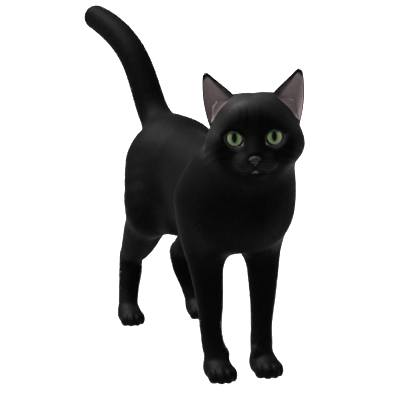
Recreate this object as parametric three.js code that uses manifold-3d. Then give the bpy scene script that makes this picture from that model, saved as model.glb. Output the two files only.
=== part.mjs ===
// A domestic short-haired cat on its feet, head turned a little and tail raised.
// Millimetres, +Z up. It faces -Y, its left is +X, and its soles stand on z = 0.
import * as THREE from 'three';
import { mergeVertices } from 'three/addons/utils/BufferGeometryUtils.js';
import Module from 'manifold-3d';

const wasm = await Module();
wasm.setup();

// ---- driving sizes ----
const seam = 0.3; // gap between neighbouring parts
const spine = { // along y: back line, belly line, half width
  y: [-150, -105, -40, 30, 90, 125],
  top: [226, 249, 252, 256, 267, 246],
  bottom: [160, 146, 138, 146, 158, 196],
  wide: [36.5, 44, 46, 43, 40, 32.5],
};
const trunk = {
  breast: { y: -135.5, z: 210, wide: 34.5, deep: 33, high: 43 },
  shoulder: { x: 33, y: -118, z: 196, wide: 19, deep: 34, high: 50 },
  haunch: { x: 20.5, y: 83.5, z: 200, wide: 25.5, deep: 42, high: 50 },
  seat: { x: 0, y: 116, z: 208, wide: 27, deep: 32, high: 38 },
  flank: { x: 30.3, y: 5, z: 155.6, wide: 13.2, deep: 23.7, high: 15.2 },
  neckRoot: [0, -132, 205, 50],
  neckThick: 46,
};
const fore = { x: 30.4, y: -128.3, bulk: 1.09, spread: 0.2, toeIn: 2.7 };
const hind = {
  x: 49, y: 134.3, bulk: 1.16, toeIn: 3, knee: -88.8, hock: 27.6, inset: 15.3, thighX: 26.7, thighY: -52.8,
};
const sway = { // sideways lean of each pair of legs by height
  z: [0, 50, 85, 130, 200], fore: [3.1, 0.6, 2.5, 3.1, 0], hind: [0.2, -0.1, 0.1, 2.5, 0],
};
const pawSize = { fore: 1.03, hind: 0.95 };
const tail = {
  root: [0, 112, 243], length: 234.5, steps: 18, sway: 12,
  at: [0, 0.14, 0.26, 0.42, 0.56, 0.72, 0.88, 1],
  lean: [73.5, 48, 32.5, 36.5, 51.4, 65, 72.9, 79], // degrees from upright
  r: [24, 19.6, 18.6, 17.9, 17.4, 17, 16.3, 15.2],
};
const headAt = { x: -2.5, y: -181, z: 277.7, yaw: 23.2, pitch: 5, roll: -3 };
const eye = { x: 21, y: -0.5, z: 0, radius: 11, cornea: 1.3, lid: 1.8 };
const nose = { y: -26.6, z: -22.4 };
const ear = {
  inner: [18, 24, 41], outer: [47, 26, 10], tip: [51, 30, 69],
  bowIn: [-0.7, 0, 0.8], bowOut: [4.2, 0, -1.2],
  back: [0.3, 0.93, 0.18], cup: 21, thick: 2.6, below: 0.25, rows: 8, columns: 8,
};
const lids = { // corners of the opening and the pulls of its edges, (x, z) from the eye's centre
  inner: [-8.8, -6.6], outer: [10.1, 2.6],
  upper: [[-12.2, 6.2], [1.5, 13.2]], lower: [[9.2, -7.6], [-0.5, -11.2]],
};
const mouth = { route: [[0, -31.4], [4.4, -34.4], [9, -36], [14, -36.2], [18.5, -35.2]], radius: 0.9 };
const philtrum = { route: [[0, -27.9], [0, -29.5], [0, -31.4]], radius: 0.7 };
const legTop = 128; // height at which the legs leave the trunk
const pawTop = { fore: 31, hind: 27 };
const cuts = { // planes between parts: a point and a normal
  head: { point: [0, 44, -8], normal: [0, 0.86, -0.51] }, // in the head's frame
  neck: { point: [0, -145, 220], normal: [0, -0.674, 0.739] },
  chest: { point: [0, -60, 0], normal: [0, 1, 0] },
  loin: { point: [0, 40, 0], normal: [0, 1, 0] },
  tail: { first: 3, normal: [0, 0.8, 0.6], others: [7, 12] }, // steps along the tail
  hock: { point: [0, hind.y + hind.hock, 78], normal: [0, -0.295, 0.955] },
};
const arches = { // shoulder and thigh in side view, the inner face leaning outwards as it rises
  shoulder: { y: -106, reach: 36, z: 182, rise: 50, inner: 10, slope: 0.25 },
  thigh: { y: 76, reach: 54, z: 172, rise: 60, inner: 3, slope: 0.28 },
};
const blockWide = 90; // how far an arch's block runs outwards
const detail = { face: 3.7, head: 7.5, paw: 5.8, leg: 10, tail: 11, body: 16, cell: 13, grading: 0.4 };

// ---- small maths ----
const radians = THREE.MathUtils.degToRad;
const dot = (a, b) => a[0] * b[0] + a[1] * b[1] + a[2] * b[2];
const minus = (a, b) => [a[0] - b[0], a[1] - b[1], a[2] - b[2]];
const mix = (a, b, t) => a.map((value, i) => value + (b[i] - value) * t);
const distance = (a, b) => Math.hypot(...minus(a, b));
const clamp = THREE.MathUtils.clamp;

// smooth union of two distances, blended over k
const union = (a, b, k) => Math.min(a, b) - Math.max(k - Math.abs(a - b), 0) ** 2 / (4 * k);

// distance to an ellipsoid, close to true near its surface
function ball(p, centre, radii) {
  const x = (p[0] - centre[0]) / radii[0];
  const y = (p[1] - centre[1]) / radii[1];
  const z = (p[2] - centre[2]) / radii[2];
  const near = Math.sqrt(x * x + y * y + z * z);
  const slope = Math.sqrt((x / radii[0]) ** 2 + (y / radii[1]) ** 2 + (z / radii[2]) ** 2);
  return near * (near - 1) / Math.max(slope, 1e-6);
}

// distance to a round form that tapers from one (x, y, z, r) to the next
function limb(p, a, b) {
  const x = b[0] - a[0];
  const y = b[1] - a[1];
  const z = b[2] - a[2];
  const u = p[0] - a[0];
  const v = p[1] - a[1];
  const w = p[2] - a[2];
  const h = clamp((u * x + v * y + w * z) / (x * x + y * y + z * z), 0, 1);
  return Math.sqrt((u - h * x) ** 2 + (v - h * y) ** 2 + (w - h * z) ** 2) - (a[3] + (b[3] - a[3]) * h);
}

// Hermite curve through the pairs (at, value), flat past its ends
function spline(t, at, value) {
  const last = at.length - 1;
  const x = clamp(t, at[0], at[last]);
  let i = 0;
  while (i < last - 1 && x >= at[i + 1]) i += 1;
  const slope = (j) => {
    const [a, b] = [Math.max(j - 1, 0), Math.min(j + 1, last)];
    return (value[b] - value[a]) / (at[b] - at[a]);
  };
  const w = at[i + 1] - at[i];
  const u = (x - at[i]) / w;
  const ease = u * u * (3 - 2 * u);
  const rise = (u ** 3 - 2 * u * u + u) * w * slope(i) + (u ** 3 - u * u) * w * slope(i + 1);
  return value[i] + (value[i + 1] - value[i]) * ease + rise;
}

// evenly spaced (x, y, z, r) along a curve through a few stations
function strand(stations, steps) {
  const at = [0];
  stations.slice(1).forEach((s, i) => at.push(at[i] + distance(s, stations[i])));
  const column = (k) => stations.map((s) => s[k]);
  return Array.from({ length: steps + 1 }, (_, i) => (
    [0, 1, 2, 3].map((k) => spline(i / steps * at.at(-1), at, column(k)))));
}
function tube(p, line) {
  let d = Infinity;
  for (let i = 1; i < line.length; i += 1) d = Math.min(d, limb(p, line[i - 1], line[i]));
  return d;
}
const fold = (p) => [Math.abs(p[0]), p[1], p[2]];

// ---- head frame: x to its left, y to its back, z up; origin midway between the eyes ----
function headBasis() {
  const [yaw, pitch, roll] = [headAt.yaw, headAt.pitch, headAt.roll].map(radians);
  const tilt = Math.cos(pitch);
  const ahead = new THREE.Vector3(-Math.sin(yaw) * tilt, -Math.cos(yaw) * tilt, Math.sin(pitch));
  const level = new THREE.Vector3(Math.cos(yaw), -Math.sin(yaw), 0);
  const upright = new THREE.Vector3().crossVectors(ahead, level);
  const left = level.clone().applyAxisAngle(ahead, -roll);
  const up = upright.applyAxisAngle(ahead, -roll);
  return new THREE.Matrix4().makeBasis(left, ahead.negate(), up).setPosition(headAt.x, headAt.y, headAt.z);
}
const headMatrix = headBasis();
const headInverse = headMatrix.clone().invert();
const toHead = (p) => new THREE.Vector3(...p).applyMatrix4(headInverse).toArray();
const fromHead = (q) => new THREE.Vector3(...q).applyMatrix4(headMatrix).toArray();

// ---- forms of the trunk ----
function torso(p) {
  const [top, bottom, wide] = [spine.top, spine.bottom, spine.wide].map((v) => spline(p[1], spine.y, v));
  const high = (top - bottom) / 2;
  const [first, last] = [spine.y[0], spine.y.at(-1)];
  const section = (Math.hypot(p[0] / wide, (p[2] - bottom - high) / high) - 1) * Math.min(wide, high);
  const over = Math.max(Math.abs(p[1] - (first + last) / 2) - (last - first) / 2, 0);
  const q = fold(p);
  const { breast, shoulder, haunch, seat, flank } = trunk;
  let d = Math.hypot(Math.max(section, 0), over) + Math.min(section, 0);
  d = union(d, ball(p, [0, breast.y, breast.z], [breast.wide, breast.deep, breast.high]), 40);
  [[seat, 20], [shoulder, 22], [haunch, 26], [flank, 22]].forEach(([form, k]) => {
    d = union(d, ball(q, [form.x, form.y, form.z], [form.wide, form.deep, form.high]), k);
  });
  return d;
}
const neckTop = [...fromHead([0, 34, -10]), 38];
const neckMiddle = mix(trunk.neckRoot, neckTop, 0.5);
neckMiddle[3] = trunk.neckThick;
const neckLine = strand([trunk.neckRoot, neckMiddle, neckTop], 6);

function tailLine() {
  const step = tail.length / tail.steps;
  const sway = radians(tail.sway);
  const line = [[...tail.root, tail.r[0]]];
  for (let i = 0; i < tail.steps; i += 1) {
    const lean = radians(spline((i + 0.5) / tail.steps, tail.at, tail.lean));
    const way = [-Math.sin(lean) * Math.sin(sway), Math.sin(lean) * Math.cos(sway), Math.cos(lean)];
    const next = way.map((value, k) => line[i][k] + value * step);
    line.push([...next, spline((i + 1) / tail.steps, tail.at, tail.r)]);
  }
  return line;
}
const tailPath = tailLine();

// ---- legs and paws, folded onto the left side ----
const swayed = (p, shift) => [p[0] - spline(p[2], sway.z, shift), p[1], p[2]];
function foreLine() {
  const { x, y, bulk: b, spread: s, toeIn } = fore;
  return strand([
    [x + 7 + s, y + 16, 200, 25],
    [x + 5 + s, y + 24, 150, 19.5 * b],
    [x + 3 + s * 0.8, y + 18, 118, 16.3 * b],
    [x + 1 + s * 0.3, y + 11, 84, 13 * b],
    [x, y + 7, 55, 10.8 * b],
    [x - toeIn / 2, y + 4, 38, 11.4 * b],
    [x - toeIn, y + 2, 22, 12],
  ], 12);
}
function hindLines() {
  const { x, y, bulk: b, knee: k, hock: o, inset: n } = hind;
  const { thighX, thighY, toeIn } = hind;
  const thigh = strand([
    [x - thighX, y + thighY, 206, 38],
    [x - 8, y + (thighY + k) / 2 - 4, 178, 30.1],
    [x - 3, y + k, 156, 20.5],
  ], 5);
  const shank = strand([
    [x - 3, y + k + 3, 160, 20.6 * b],
    [x - n * 0.5, y + k * 0.55 + o * 0.45 - 7.6, 130, 20.8 * b],
    [x - n * 0.8, y + k * 0.22 + o * 0.78 - 9.4, 102, 17 * b],
    [x - n, y + o, 82, 11.2 * b],
  ], 8);
  const foot = strand([
    [x - n, y + o + 2, 80, 9.8 * b],
    [x - n * 0.9, y + o - 4, 66, 12.5 * b],
    [x - n * 0.5, y + o * 0.5, 40, 10.6 * b],
    [x - 1 - toeIn, y + 6, 20, 12],
  ], 6);
  return { thigh, shank, foot };
}
const forePath = foreLine();
const hindPath = hindLines();
const toes = [[-10.8, -17], [-3.9, -22], [3.9, -22], [10.8, -17]];

function paw(q, x, y, big) {
  let d = ball(q, [x, y - 5, 11.5 * big], [16 * big, 20 * big, 13.5 * big]);
  toes.forEach(([tx, ty]) => {
    const toe = [5.6 * big, 8.5 * big, 9 * big];
    d = union(d, ball(q, [x + tx * big, y + ty * big, 8.6 * big], toe), 2.6);
  });
  return d;
}
function forePaw(q) {
  const x = fore.x - fore.toeIn;
  return union(paw(q, x, fore.y, pawSize.fore), ball(q, [x - 9.5, fore.y - 5, 29], [4, 5, 6]), 5);
}
const hindPaw = (q) => paw(q, hind.x - hind.toeIn, hind.y, pawSize.hind);
function hindLeg(q) {
  const upper = union(tube(q, hindPath.thigh), tube(q, hindPath.shank), 22);
  return union(upper, tube(q, hindPath.foot), 8);
}

// ---- head, in its own frame ----
function skull(q) {
  const a = fold(q);
  let d = ball(a, [13, 34, 7.4], [34, 42, 39]); // braincase
  d = union(d, ball(q, [0, 34, 7.4], [34, 42, 38]), 6);
  d = union(d, ball(a, [28.2, 14, -8], [24.5, 28, 23]), 12); // cheek
  d = union(d, ball(q, [0, 2, 14], [30, 17, 24]), 14); // forehead
  d = union(d, ball(q, [0, 6, -24], [27, 28, 17]), 12); // jaw
  d = union(d, limb(q, [0, -3, 5, 12], [0, -22.5, -17.5, 8]), 12); // bridge of the nose
  d = union(d, ball(a, [eye.x, eye.y, eye.z], [1, 1, 1].map(() => eye.radius + eye.lid)), 4); // lids
  d = union(d, ball(a, [9.5, -17, -26], [12.5, 13, 10]), 6); // whisker pad
  d = union(d, ball(q, [0, -13, -36.5], [11, 11, 7]), 5); // chin
  return union(d, ball(a, [32, 38, 26], [15, 14, 16]), 12); // root of the ear
}

function cat(p) {
  const [front, back] = [fold(swayed(p, sway.fore)), fold(swayed(p, sway.hind))];
  let d = torso(p);
  d = union(d, tube(p, neckLine), 36);
  d = union(d, tube(front, forePath), 22);
  d = union(d, hindLeg(back), 26);
  d = union(d, tube(p, tailPath), 16);
  d = union(d, forePaw(front), 8);
  d = union(d, hindPaw(back), 8);
  return union(d, skull(toHead(p)), 18);
}

// ---- from a field to a closed surface ----
// one point in each grid cell that the surface crosses, one quad round each grid edge that it crosses
function net(field, low, high, cell) {
  const n = low.map((value, i) => Math.ceil((high[i] - value) / cell) + 1);
  const key = (i, j, k) => (i * n[1] + j) * n[2] + k;
  const value = new Float64Array(n[0] * n[1] * n[2]);
  const each = (work) => {
    for (let i = 0; i < n[0] - 1; i += 1) {
      for (let j = 0; j < n[1] - 1; j += 1) {
        for (let k = 0; k < n[2] - 1; k += 1) work([i, j, k]);
      }
    }
  };
  for (let i = 0; i < n[0]; i += 1) {
    for (let j = 0; j < n[1]; j += 1) {
      for (let k = 0; k < n[2]; k += 1) {
        value[key(i, j, k)] = field([low[0] + cell * i, low[1] + cell * j, low[2] + cell * k]);
      }
    }
  }
  const points = [];
  const pointOf = new Map();
  each((at) => {
    const crossings = [];
    for (let axis = 0; axis < 3; axis += 1) {
      [[0, 0], [0, 1], [1, 0], [1, 1]].forEach(([s, t]) => {
        const start = [0, 0, 0];
        start[(axis + 1) % 3] = s;
        start[(axis + 2) % 3] = t;
        const end = start.map((v, m) => v + (m === axis ? 1 : 0));
        const [a, b] = [start, end].map((o) => value[key(at[0] + o[0], at[1] + o[1], at[2] + o[2])]);
        if ((a < 0) !== (b < 0)) crossings.push(mix(start, end, a / (a - b)));
      });
    }
    if (crossings.length) {
      const middle = [0, 1, 2].map((m) => crossings.reduce((sum, c) => sum + c[m], 0) / crossings.length);
      pointOf.set(key(...at), points.push(middle.map((v, m) => low[m] + cell * (at[m] + v))) - 1);
    }
  });
  const faces = [];
  each((at) => {
    for (let axis = 0; axis < 3; axis += 1) {
      const [b, c] = [(axis + 1) % 3, (axis + 2) % 3];
      const end = at.map((v, m) => v + (m === axis ? 1 : 0));
      const inside = value[key(...at)] < 0;
      if (at[b] > 0 && at[c] > 0 && inside !== (value[key(...end)] < 0)) {
        const quad = [[1, 1], [0, 1], [0, 0], [1, 0]].map(([s, t]) => {
          const cellAt = at.slice();
          cellAt[b] -= s;
          cellAt[c] -= t;
          return pointOf.get(key(...cellAt));
        });
        if (!inside) quad.reverse();
        const diagonal = (m) => distance(points[quad[m]], points[quad[m + 2]]);
        const turn = diagonal(0) > diagonal(1) ? 1 : 0;
        const [p0, p1, p2, p3] = [0, 1, 2, 3].map((m) => quad[(m + turn) % 4]);
        faces.push([p0, p1, p2], [p0, p2, p3]);
      }
    }
  });
  return { points, faces };
}

const edgeKey = (a, b) => Math.min(a, b) * 1e6 + Math.max(a, b);

// the net of a grid that is moved a little until every edge lies between just two triangles
function cleanNet(field, low, high, cell) {
  for (let shift = 0; shift < cell; shift += 1) {
    const mesh = net(field, low.map((v) => v - shift), high, cell);
    const shared = new Map();
    mesh.faces.forEach((face) => face.forEach((a, m) => {
      const key = edgeKey(a, face[(m + 1) % 3]);
      shared.set(key, (shared.get(key) ?? 0) + 1);
    }));
    if ([...shared.values()].every((count) => count === 2)) return mesh;
  }
  throw new Error('no grid gives a clean net');
}

// Newton steps onto the surface where the field has the given level
function settle(points, field, level = 0) {
  const h = 0.05;
  return points.map((start) => {
    let p = start;
    for (let round = 0; round < 2; round += 1) {
      const slope = [0, 1, 2].map((m) => {
        const shifted = (s) => p.map((v, i) => v + (i === m ? s : 0));
        return (field(shifted(h)) - field(shifted(-h))) / (2 * h);
      });
      const step = (field(p) - level) / Math.max(dot(slope, slope), 0.1);
      p = p.map((v, i) => v - step * slope[i]);
    }
    return p;
  });
}

// halves every edge that is long for its place, and the triangles beside it
function splitLong({ points, faces }, spacing) {
  const middles = new Map();
  const middle = (a, b) => {
    const key = edgeKey(a, b);
    if (!middles.has(key)) {
      const p = mix(points[a], points[b], 0.5);
      const long = distance(points[a], points[b]) > 1.4 * spacing(p);
      middles.set(key, long ? points.push(p) - 1 : -1);
    }
    return middles.get(key);
  };
  const split = ([a, b, c]) => {
    const [x, y, z] = [middle(a, b), middle(b, c), middle(c, a)];
    if (x < 0 && y < 0 && z < 0) return [[a, b, c]];
    if (x >= 0 && y >= 0 && z >= 0) return [[a, x, z], [x, b, y], [z, y, c], [x, y, z]];
    if (x < 0) return split([b, c, a]);
    if (y < 0 && z < 0) return [[a, x, c], [x, b, c]];
    if (y < 0) return [[a, x, z], [x, b, c], [x, c, z]];
    return [[x, b, y], [a, x, y], [a, y, c]];
  };
  return { points, faces: faces.flatMap(split) };
}

// turns edges between two triangles where the other diagonal makes rounder ones
function flipEdges({ points, faces }) {
  const angle = (a, b, c) => {
    const [u, v] = [minus(points[b], points[a]), minus(points[c], points[a])];
    return Math.acos(clamp(dot(u, v) / Math.hypot(...u) / Math.hypot(...v), -1, 1));
  };
  const owners = new Map();
  faces.forEach((face, i) => face.forEach((a, m) => {
    const key = edgeKey(a, face[(m + 1) % 3]);
    owners.set(key, [...(owners.get(key) ?? []), i]);
  }));
  const touched = new Set();
  owners.forEach(([one, two], key) => {
    const [a, b] = [Math.floor(key / 1e6), key % 1e6];
    const c = faces[one].find((v) => v !== a && v !== b);
    const d = faces[two].find((v) => v !== a && v !== b);
    if (touched.has(one) || touched.has(two) || owners.has(edgeKey(c, d))) return;
    if (angle(c, a, b) + angle(d, a, b) <= Math.PI + 0.1) return;
    const forward = faces[one][(faces[one].indexOf(a) + 1) % 3] === b;
    const [left, right] = forward ? [c, d] : [d, c];
    faces[one] = [left, a, right];
    faces[two] = [right, b, left];
    owners.set(edgeKey(c, d), [one, two]);
    touched.add(one).add(two);
  });
}

// moves each point towards the middle of its neighbours
function relax({ points, faces }) {
  const sums = points.map(() => [0, 0, 0, 0]);
  faces.forEach((face) => face.forEach((a, m) => {
    points[face[(m + 1) % 3]].forEach((v, i) => {
      sums[a][i] += v;
    });
    sums[a][3] += 1;
  }));
  return points.map((p, i) => mix(p, sums[i].slice(0, 3).map((v) => v / sums[i][3]), 0.5));
}

function refine(mesh, field, spacing, rounds) {
  let fine = mesh;
  for (let round = 0; round < rounds; round += 1) {
    fine = splitLong(fine, spacing);
    for (let pass = 0; pass < 3; pass += 1) {
      flipEdges(fine);
      fine.points = settle(relax(fine), field);
    }
  }
  return fine;
}

// ---- solids ----
function solidOf({ points, faces }) {
  const vertProperties = new Float32Array(points.flat());
  const triVerts = new Uint32Array(faces.flat());
  return new wasm.Manifold(new wasm.Mesh({ numProp: 3, vertProperties, triVerts }));
}
function solid(geometry) {
  ['normal', 'uv'].forEach((name) => geometry.deleteAttribute(name));
  const merged = mergeVertices(geometry, 1e-4);
  const vertProperties = new Float32Array(merged.attributes.position.array);
  const triVerts = new Uint32Array(merged.index.array);
  return new wasm.Manifold(new wasm.Mesh({ numProp: 3, vertProperties, triVerts }));
}
const largest = (whole) => whole.decompose().reduce((a, b) => (a.volume() > b.volume() ? a : b));

// the two sides of a plane through a point: [behind it, in front of it], each half a seam away
function part(whole, point, normal) {
  const unit = new THREE.Vector3(...normal).normalize().toArray();
  const offset = dot(unit, point);
  const behind = whole.trimByPlane(unit.map((v) => -v), seam / 2 - offset);
  return [behind, whole.trimByPlane(unit, offset + seam / 2)];
}

// a ball of the eye about its line of sight, with the clear front raised
function eyeball(grow) {
  const steps = 12;
  const profile = Array.from({ length: steps + 1 }, (_, i) => {
    const angle = Math.PI * i / steps;
    const raised = eye.cornea * Math.cos(Math.min(angle * 2, Math.PI / 2)) ** 2;
    const r = eye.radius + grow + raised;
    return new THREE.Vector2(i % steps ? r * Math.sin(angle) : 0, -r * Math.cos(angle));
  });
  return new THREE.LatheGeometry(profile, 16);
}

// the almond between the lids, as a prism that runs forward from the eye
function lidOpening(side) {
  const across = (points) => points.flatMap(([x, z]) => [x * side, z]);
  const shape = new THREE.Shape();
  shape.moveTo(...across([lids.inner]));
  shape.bezierCurveTo(...across([...lids.upper, lids.outer]));
  shape.bezierCurveTo(...across([...lids.lower, lids.inner]));
  const prism = new THREE.ExtrudeGeometry(shape, { depth: 30, bevelEnabled: false, curveSegments: 9 });
  prism.rotateX(Math.PI / 2);
  prism.translate(eye.x * side, eye.y - 3, eye.z);
  return prism;
}

// the leather of the nose, with its nostrils
function noseField(q) {
  const a = fold(q);
  const bridge = ball(q, [0, nose.y, nose.z + 1.2], [6, 5.4, 3.6]);
  const point = limb(q, [0, nose.y - 0.6, nose.z + 1, 3.8], [0, nose.y - 0.6, nose.z - 4.2, 1.8]);
  return union(union(bridge, point, 3), ball(a, [4, nose.y - 0.4, nose.z], [3.1, 4.6, 3.3]), 1.5);
}
function nostril(side) {
  const hollow = new THREE.SphereGeometry(1, 10, 8);
  hollow.scale(2, 2.6, 1.1);
  hollow.rotateY(side * radians(24));
  hollow.translate(side * 4.4, nose.y - 5, nose.z - 0.8);
  return hollow;
}

// a thin groove over the face through points (x, z), laid where the skull's front meets them
function groove(route, radius) {
  const onFace = ([x, z]) => {
    let [out, within] = [-50, -5];
    for (let i = 0; i < 24; i += 1) {
      const y = (out + within) / 2;
      if (skull([x, y, z]) > 0) out = y;
      else within = y;
    }
    return new THREE.Vector3(x, out - radius * 0.3, z);
  };
  const section = new THREE.Shape().absarc(0, 0, radius, 0, Math.PI * 2, false);
  const path = new THREE.CatmullRomCurve3(route.map(onFace));
  return new THREE.ExtrudeGeometry(section, { extrudePath: path, steps: 10, curveSegments: 4 });
}

// a cupped ear: a sheet round the back from edge to edge, closed by the same sheet inside it
function earSheet(v, t) {
  const w = clamp(v, 0, 1);
  const bow = (shape, by) => shape.map((value) => value * Math.sin(Math.PI * w * by));
  const [bowIn, bowOut] = [bow(ear.bowIn, 1), bow(ear.bowOut, 0.9)];
  const inner = mix(ear.inner, ear.tip, v).map((value, i) => value + bowIn[i]);
  const outer = mix(ear.outer, ear.tip, v).map((value, i) => value + bowOut[i]);
  const back = new THREE.Vector3(...ear.back).normalize().toArray();
  const [across, deep] = [Math.sin(t * Math.PI / 2), ear.cup * (1 - w) ** 0.75 * Math.cos(t * Math.PI / 2)];
  return [0, 1, 2].map((i) => (
    (inner[i] + outer[i]) / 2 + (outer[i] - inner[i]) / 2 * across + back[i] * deep));
}
function earSolid(side) {
  const back = new THREE.Vector3(...ear.back).normalize().toArray();
  const ring = (v) => {
    const sheet = Array.from({ length: ear.columns + 1 }, (_, i) => earSheet(v, i / ear.columns * 2 - 1));
    const inside = sheet.map((p, i) => {
      const bulk = 0.3 + 0.7 * Math.sin(Math.PI * i / ear.columns);
      const thick = ear.thick * bulk * (1 - 0.55 * Math.max(v, 0));
      return p.map((value, k) => value - back[k] * thick);
    });
    return [...sheet, ...inside.reverse()];
  };
  const rings = Array.from({ length: ear.rows + 1 }, (_, i) => (
    ring(-ear.below + (0.985 + ear.below) * i / ear.rows)));
  const count = rings[0].length;
  const points = rings.flat();
  const faces = [];
  for (let row = 0; row < ear.rows; row += 1) {
    for (let i = 0; i < count; i += 1) {
      const [a, b] = [row * count + i, row * count + (i + 1) % count];
      faces.push([a, b + count, b], [a, a + count, b + count]);
    }
  }
  for (let i = 0; i < ear.columns; i += 1) { // bottom and tip, ribbon from edge to edge
    const top = ear.rows * count;
    const [a, b, c, d] = [i, i + 1, count - 2 - i, count - 1 - i];
    faces.push([a, b, c], [a, c, d]);
    faces.push([top + a, top + c, top + b], [top + a, top + d, top + c]);
  }
  const placed = points.map((p) => fromHead([p[0] * side, p[1], p[2]]));
  return solidOf({ points: placed, faces: side > 0 ? faces : faces.map((f) => f.slice().reverse()) });
}

// the region of a shoulder or thigh
function arch({ y, reach, z, rise, inner, slope }, side, grow) {
  const shape = new THREE.Shape();
  shape.moveTo(y - reach - grow, legTop - 30);
  shape.lineTo(y + reach + grow, legTop - 30);
  shape.lineTo(y + reach + grow, z);
  shape.absellipse(y, z, reach + grow, rise + grow, 0, Math.PI, false, 0);
  const extrusion = { depth: blockWide, bevelEnabled: false, curveSegments: 9 };
  const block = new THREE.ExtrudeGeometry(shape, extrusion);
  block.applyMatrix4(new THREE.Matrix4().set(0, 0, 1, 0, 1, 0, 0, 0, 0, 1, 0, 0, 0, 0, 0, 1));
  block.translate(side > 0 ? inner - grow : grow - inner - blockWide, 0, 0);
  const lean = side * slope;
  const leaning = new THREE.Matrix4().set(1, 0, lean, -lean * legTop, 0, 1, 0, 0, 0, 0, 1, 0, 0, 0, 0, 1);
  block.applyMatrix4(leaning);
  return solid(block);
}

// ---- the surface of the whole animal, finer where it is finely shaped ----
function spacing(p) {
  const q = toHead(p);
  const step = (d, fine) => fine + detail.grading * Math.max(d, 0);
  const pawNear = Math.min(...[fore, hind].map(({ x, y }) => ball(fold(p), [x, y - 8, 8], [20, 26, 18])));
  return Math.min(
    detail.body,
    step(ball(q, [0, -12, -14], [31, 24, 25]), detail.face),
    step(ball(q, [0, 20, 4], [52, 48, 46]), detail.head),
    step(pawNear, detail.paw),
    step(p[2] - legTop, detail.leg),
    step(150 - p[1] + Math.max(255 - p[2], 0), detail.tail),
  );
}
const box = { low: [-95, -265, -14], high: [95, 400, 420] };
const coarse = cleanNet(cat, box.low, box.high, detail.cell);
const shape = refine({ points: settle(coarse.points, cat), faces: coarse.faces }, cat, spacing, 4);
const flesh = solidOf(shape).trimByPlane([0, 0, 1], 0);
const swollen = solidOf({ points: settle(shape.points, cat, seam), faces: shape.faces });

// ---- parting ----
const parts = {};
const inHead = (geometry) => solid(geometry.applyMatrix4(headMatrix));
const noseBox = { low: [-11, nose.y - 11, nose.z - 11], high: [11, nose.y + 9, nose.z + 10] };
function noseSolid(grow) {
  const mesh = cleanNet(noseField, noseBox.low, noseBox.high, 2.3);
  const local = settle(mesh.points, noseField, grow);
  return solidOf({ points: local.map(fromHead), faces: mesh.faces });
}
function eyeAt(side, grow) {
  return inHead(eyeball(grow).translate(eye.x * side, eye.y, eye.z));
}
const sides = [['left', 1], ['right', -1]];

const nape = new THREE.Vector3(...cuts.head.normal).transformDirection(headMatrix).toArray();
let [head, body] = part(flesh, fromHead(cuts.head.point), nape);
head = head.subtract(noseSolid(seam)).subtract(inHead(groove(philtrum.route, philtrum.radius)));
parts.nose = noseSolid(0);
sides.forEach(([name, side]) => {
  const lipLine = mouth.route.map(([x, z]) => [x * side, z]);
  head = head.subtract(inHead(groove(lipLine, mouth.radius)));
  head = head.subtract(eyeAt(side, seam)).subtract(inHead(lidOpening(side)));
  parts.nose = parts.nose.subtract(inHead(nostril(side)));
  parts[`eye_${name}`] = eyeAt(side, 0);
  parts[`ear_${name}`] = earSolid(side).subtract(swollen);
});
parts.head = head;

[body, parts.neck] = part(body, cuts.neck.point, cuts.neck.normal);
let tailRest;
[body, tailRest] = part(body, tailPath[cuts.tail.first], cuts.tail.normal);
cuts.tail.others.forEach((station, i) => {
  const along = minus(tailPath[station + 1], tailPath[station - 1]).slice(0, 3);
  [parts[['tail_base', 'tail_middle'][i]], tailRest] = part(tailRest, tailPath[station], along);
});
parts.tail_tip = tailRest;

let legs;
[legs, body] = part(body, [0, 0, legTop], [0, 0, 1]);
legs.decompose().filter((leg) => leg.volume() > 1e4).forEach((leg) => {
  const bounds = leg.boundingBox();
  const side = bounds.min[0] + bounds.max[0] > 0 ? 'left' : 'right';
  if (bounds.min[1] + bounds.max[1] < 0) {
    const [below, above] = part(leg, [0, 0, pawTop.fore], [0, 0, 1]);
    parts[`front_${side}_paw`] = below;
    parts[`front_${side}_forearm`] = above;
  } else {
    const [below, above] = part(leg, cuts.hock.point, cuts.hock.normal);
    parts[`hind_${side}_shank`] = above;
    [parts[`hind_${side}_paw`], parts[`hind_${side}_foot`]] = part(below, [0, 0, pawTop.hind], [0, 0, 1]);
  }
});
sides.forEach(([name, side]) => {
  parts[`front_${name}_shoulder`] = body.intersect(arch(arches.shoulder, side, 0));
  parts[`hind_${name}_thigh`] = body.intersect(arch(arches.thigh, side, 0));
  body = body.subtract(arch(arches.shoulder, side, seam)).subtract(arch(arches.thigh, side, seam));
});
[parts.chest, body] = part(body, cuts.chest.point, cuts.chest.normal);
[parts.belly, parts.rump] = part(body, cuts.loin.point, cuts.loin.normal);

// ---- materials and scene graph ----
const looks = {
  coat: { color: 0x0c0c0d, roughness: 0.5, metalness: 0 },
  eye: { color: 0x9db070, roughness: 0.08, metalness: 0 },
  nose: { color: 0x2b2627, roughness: 0.45, metalness: 0 },
  ear: { color: 0x1c1719, roughness: 0.6, metalness: 0 },
};
function meshOf(name, whole) {
  const { vertProperties, triVerts } = largest(whole).getMesh();
  const geometry = new THREE.BufferGeometry();
  geometry.setAttribute('position', new THREE.BufferAttribute(new Float32Array(vertProperties), 3));
  geometry.setIndex(new THREE.BufferAttribute(new Uint32Array(triVerts), 1));
  geometry.computeVertexNormals();
  const look = looks[name.split('_')[0]] ?? looks.coat;
  const mesh = new THREE.Mesh(geometry, new THREE.MeshStandardMaterial(look));
  mesh.name = name;
  return mesh;
}
const group = new THREE.Group();
Object.entries(parts).forEach(([name, whole]) => group.add(meshOf(name, whole)));
const extent = new THREE.Box3().setFromObject(group);
const middle = extent.getCenter(new THREE.Vector3());
group.position.set(-middle.x, -middle.y, -extent.min.z);

export default group;
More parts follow.
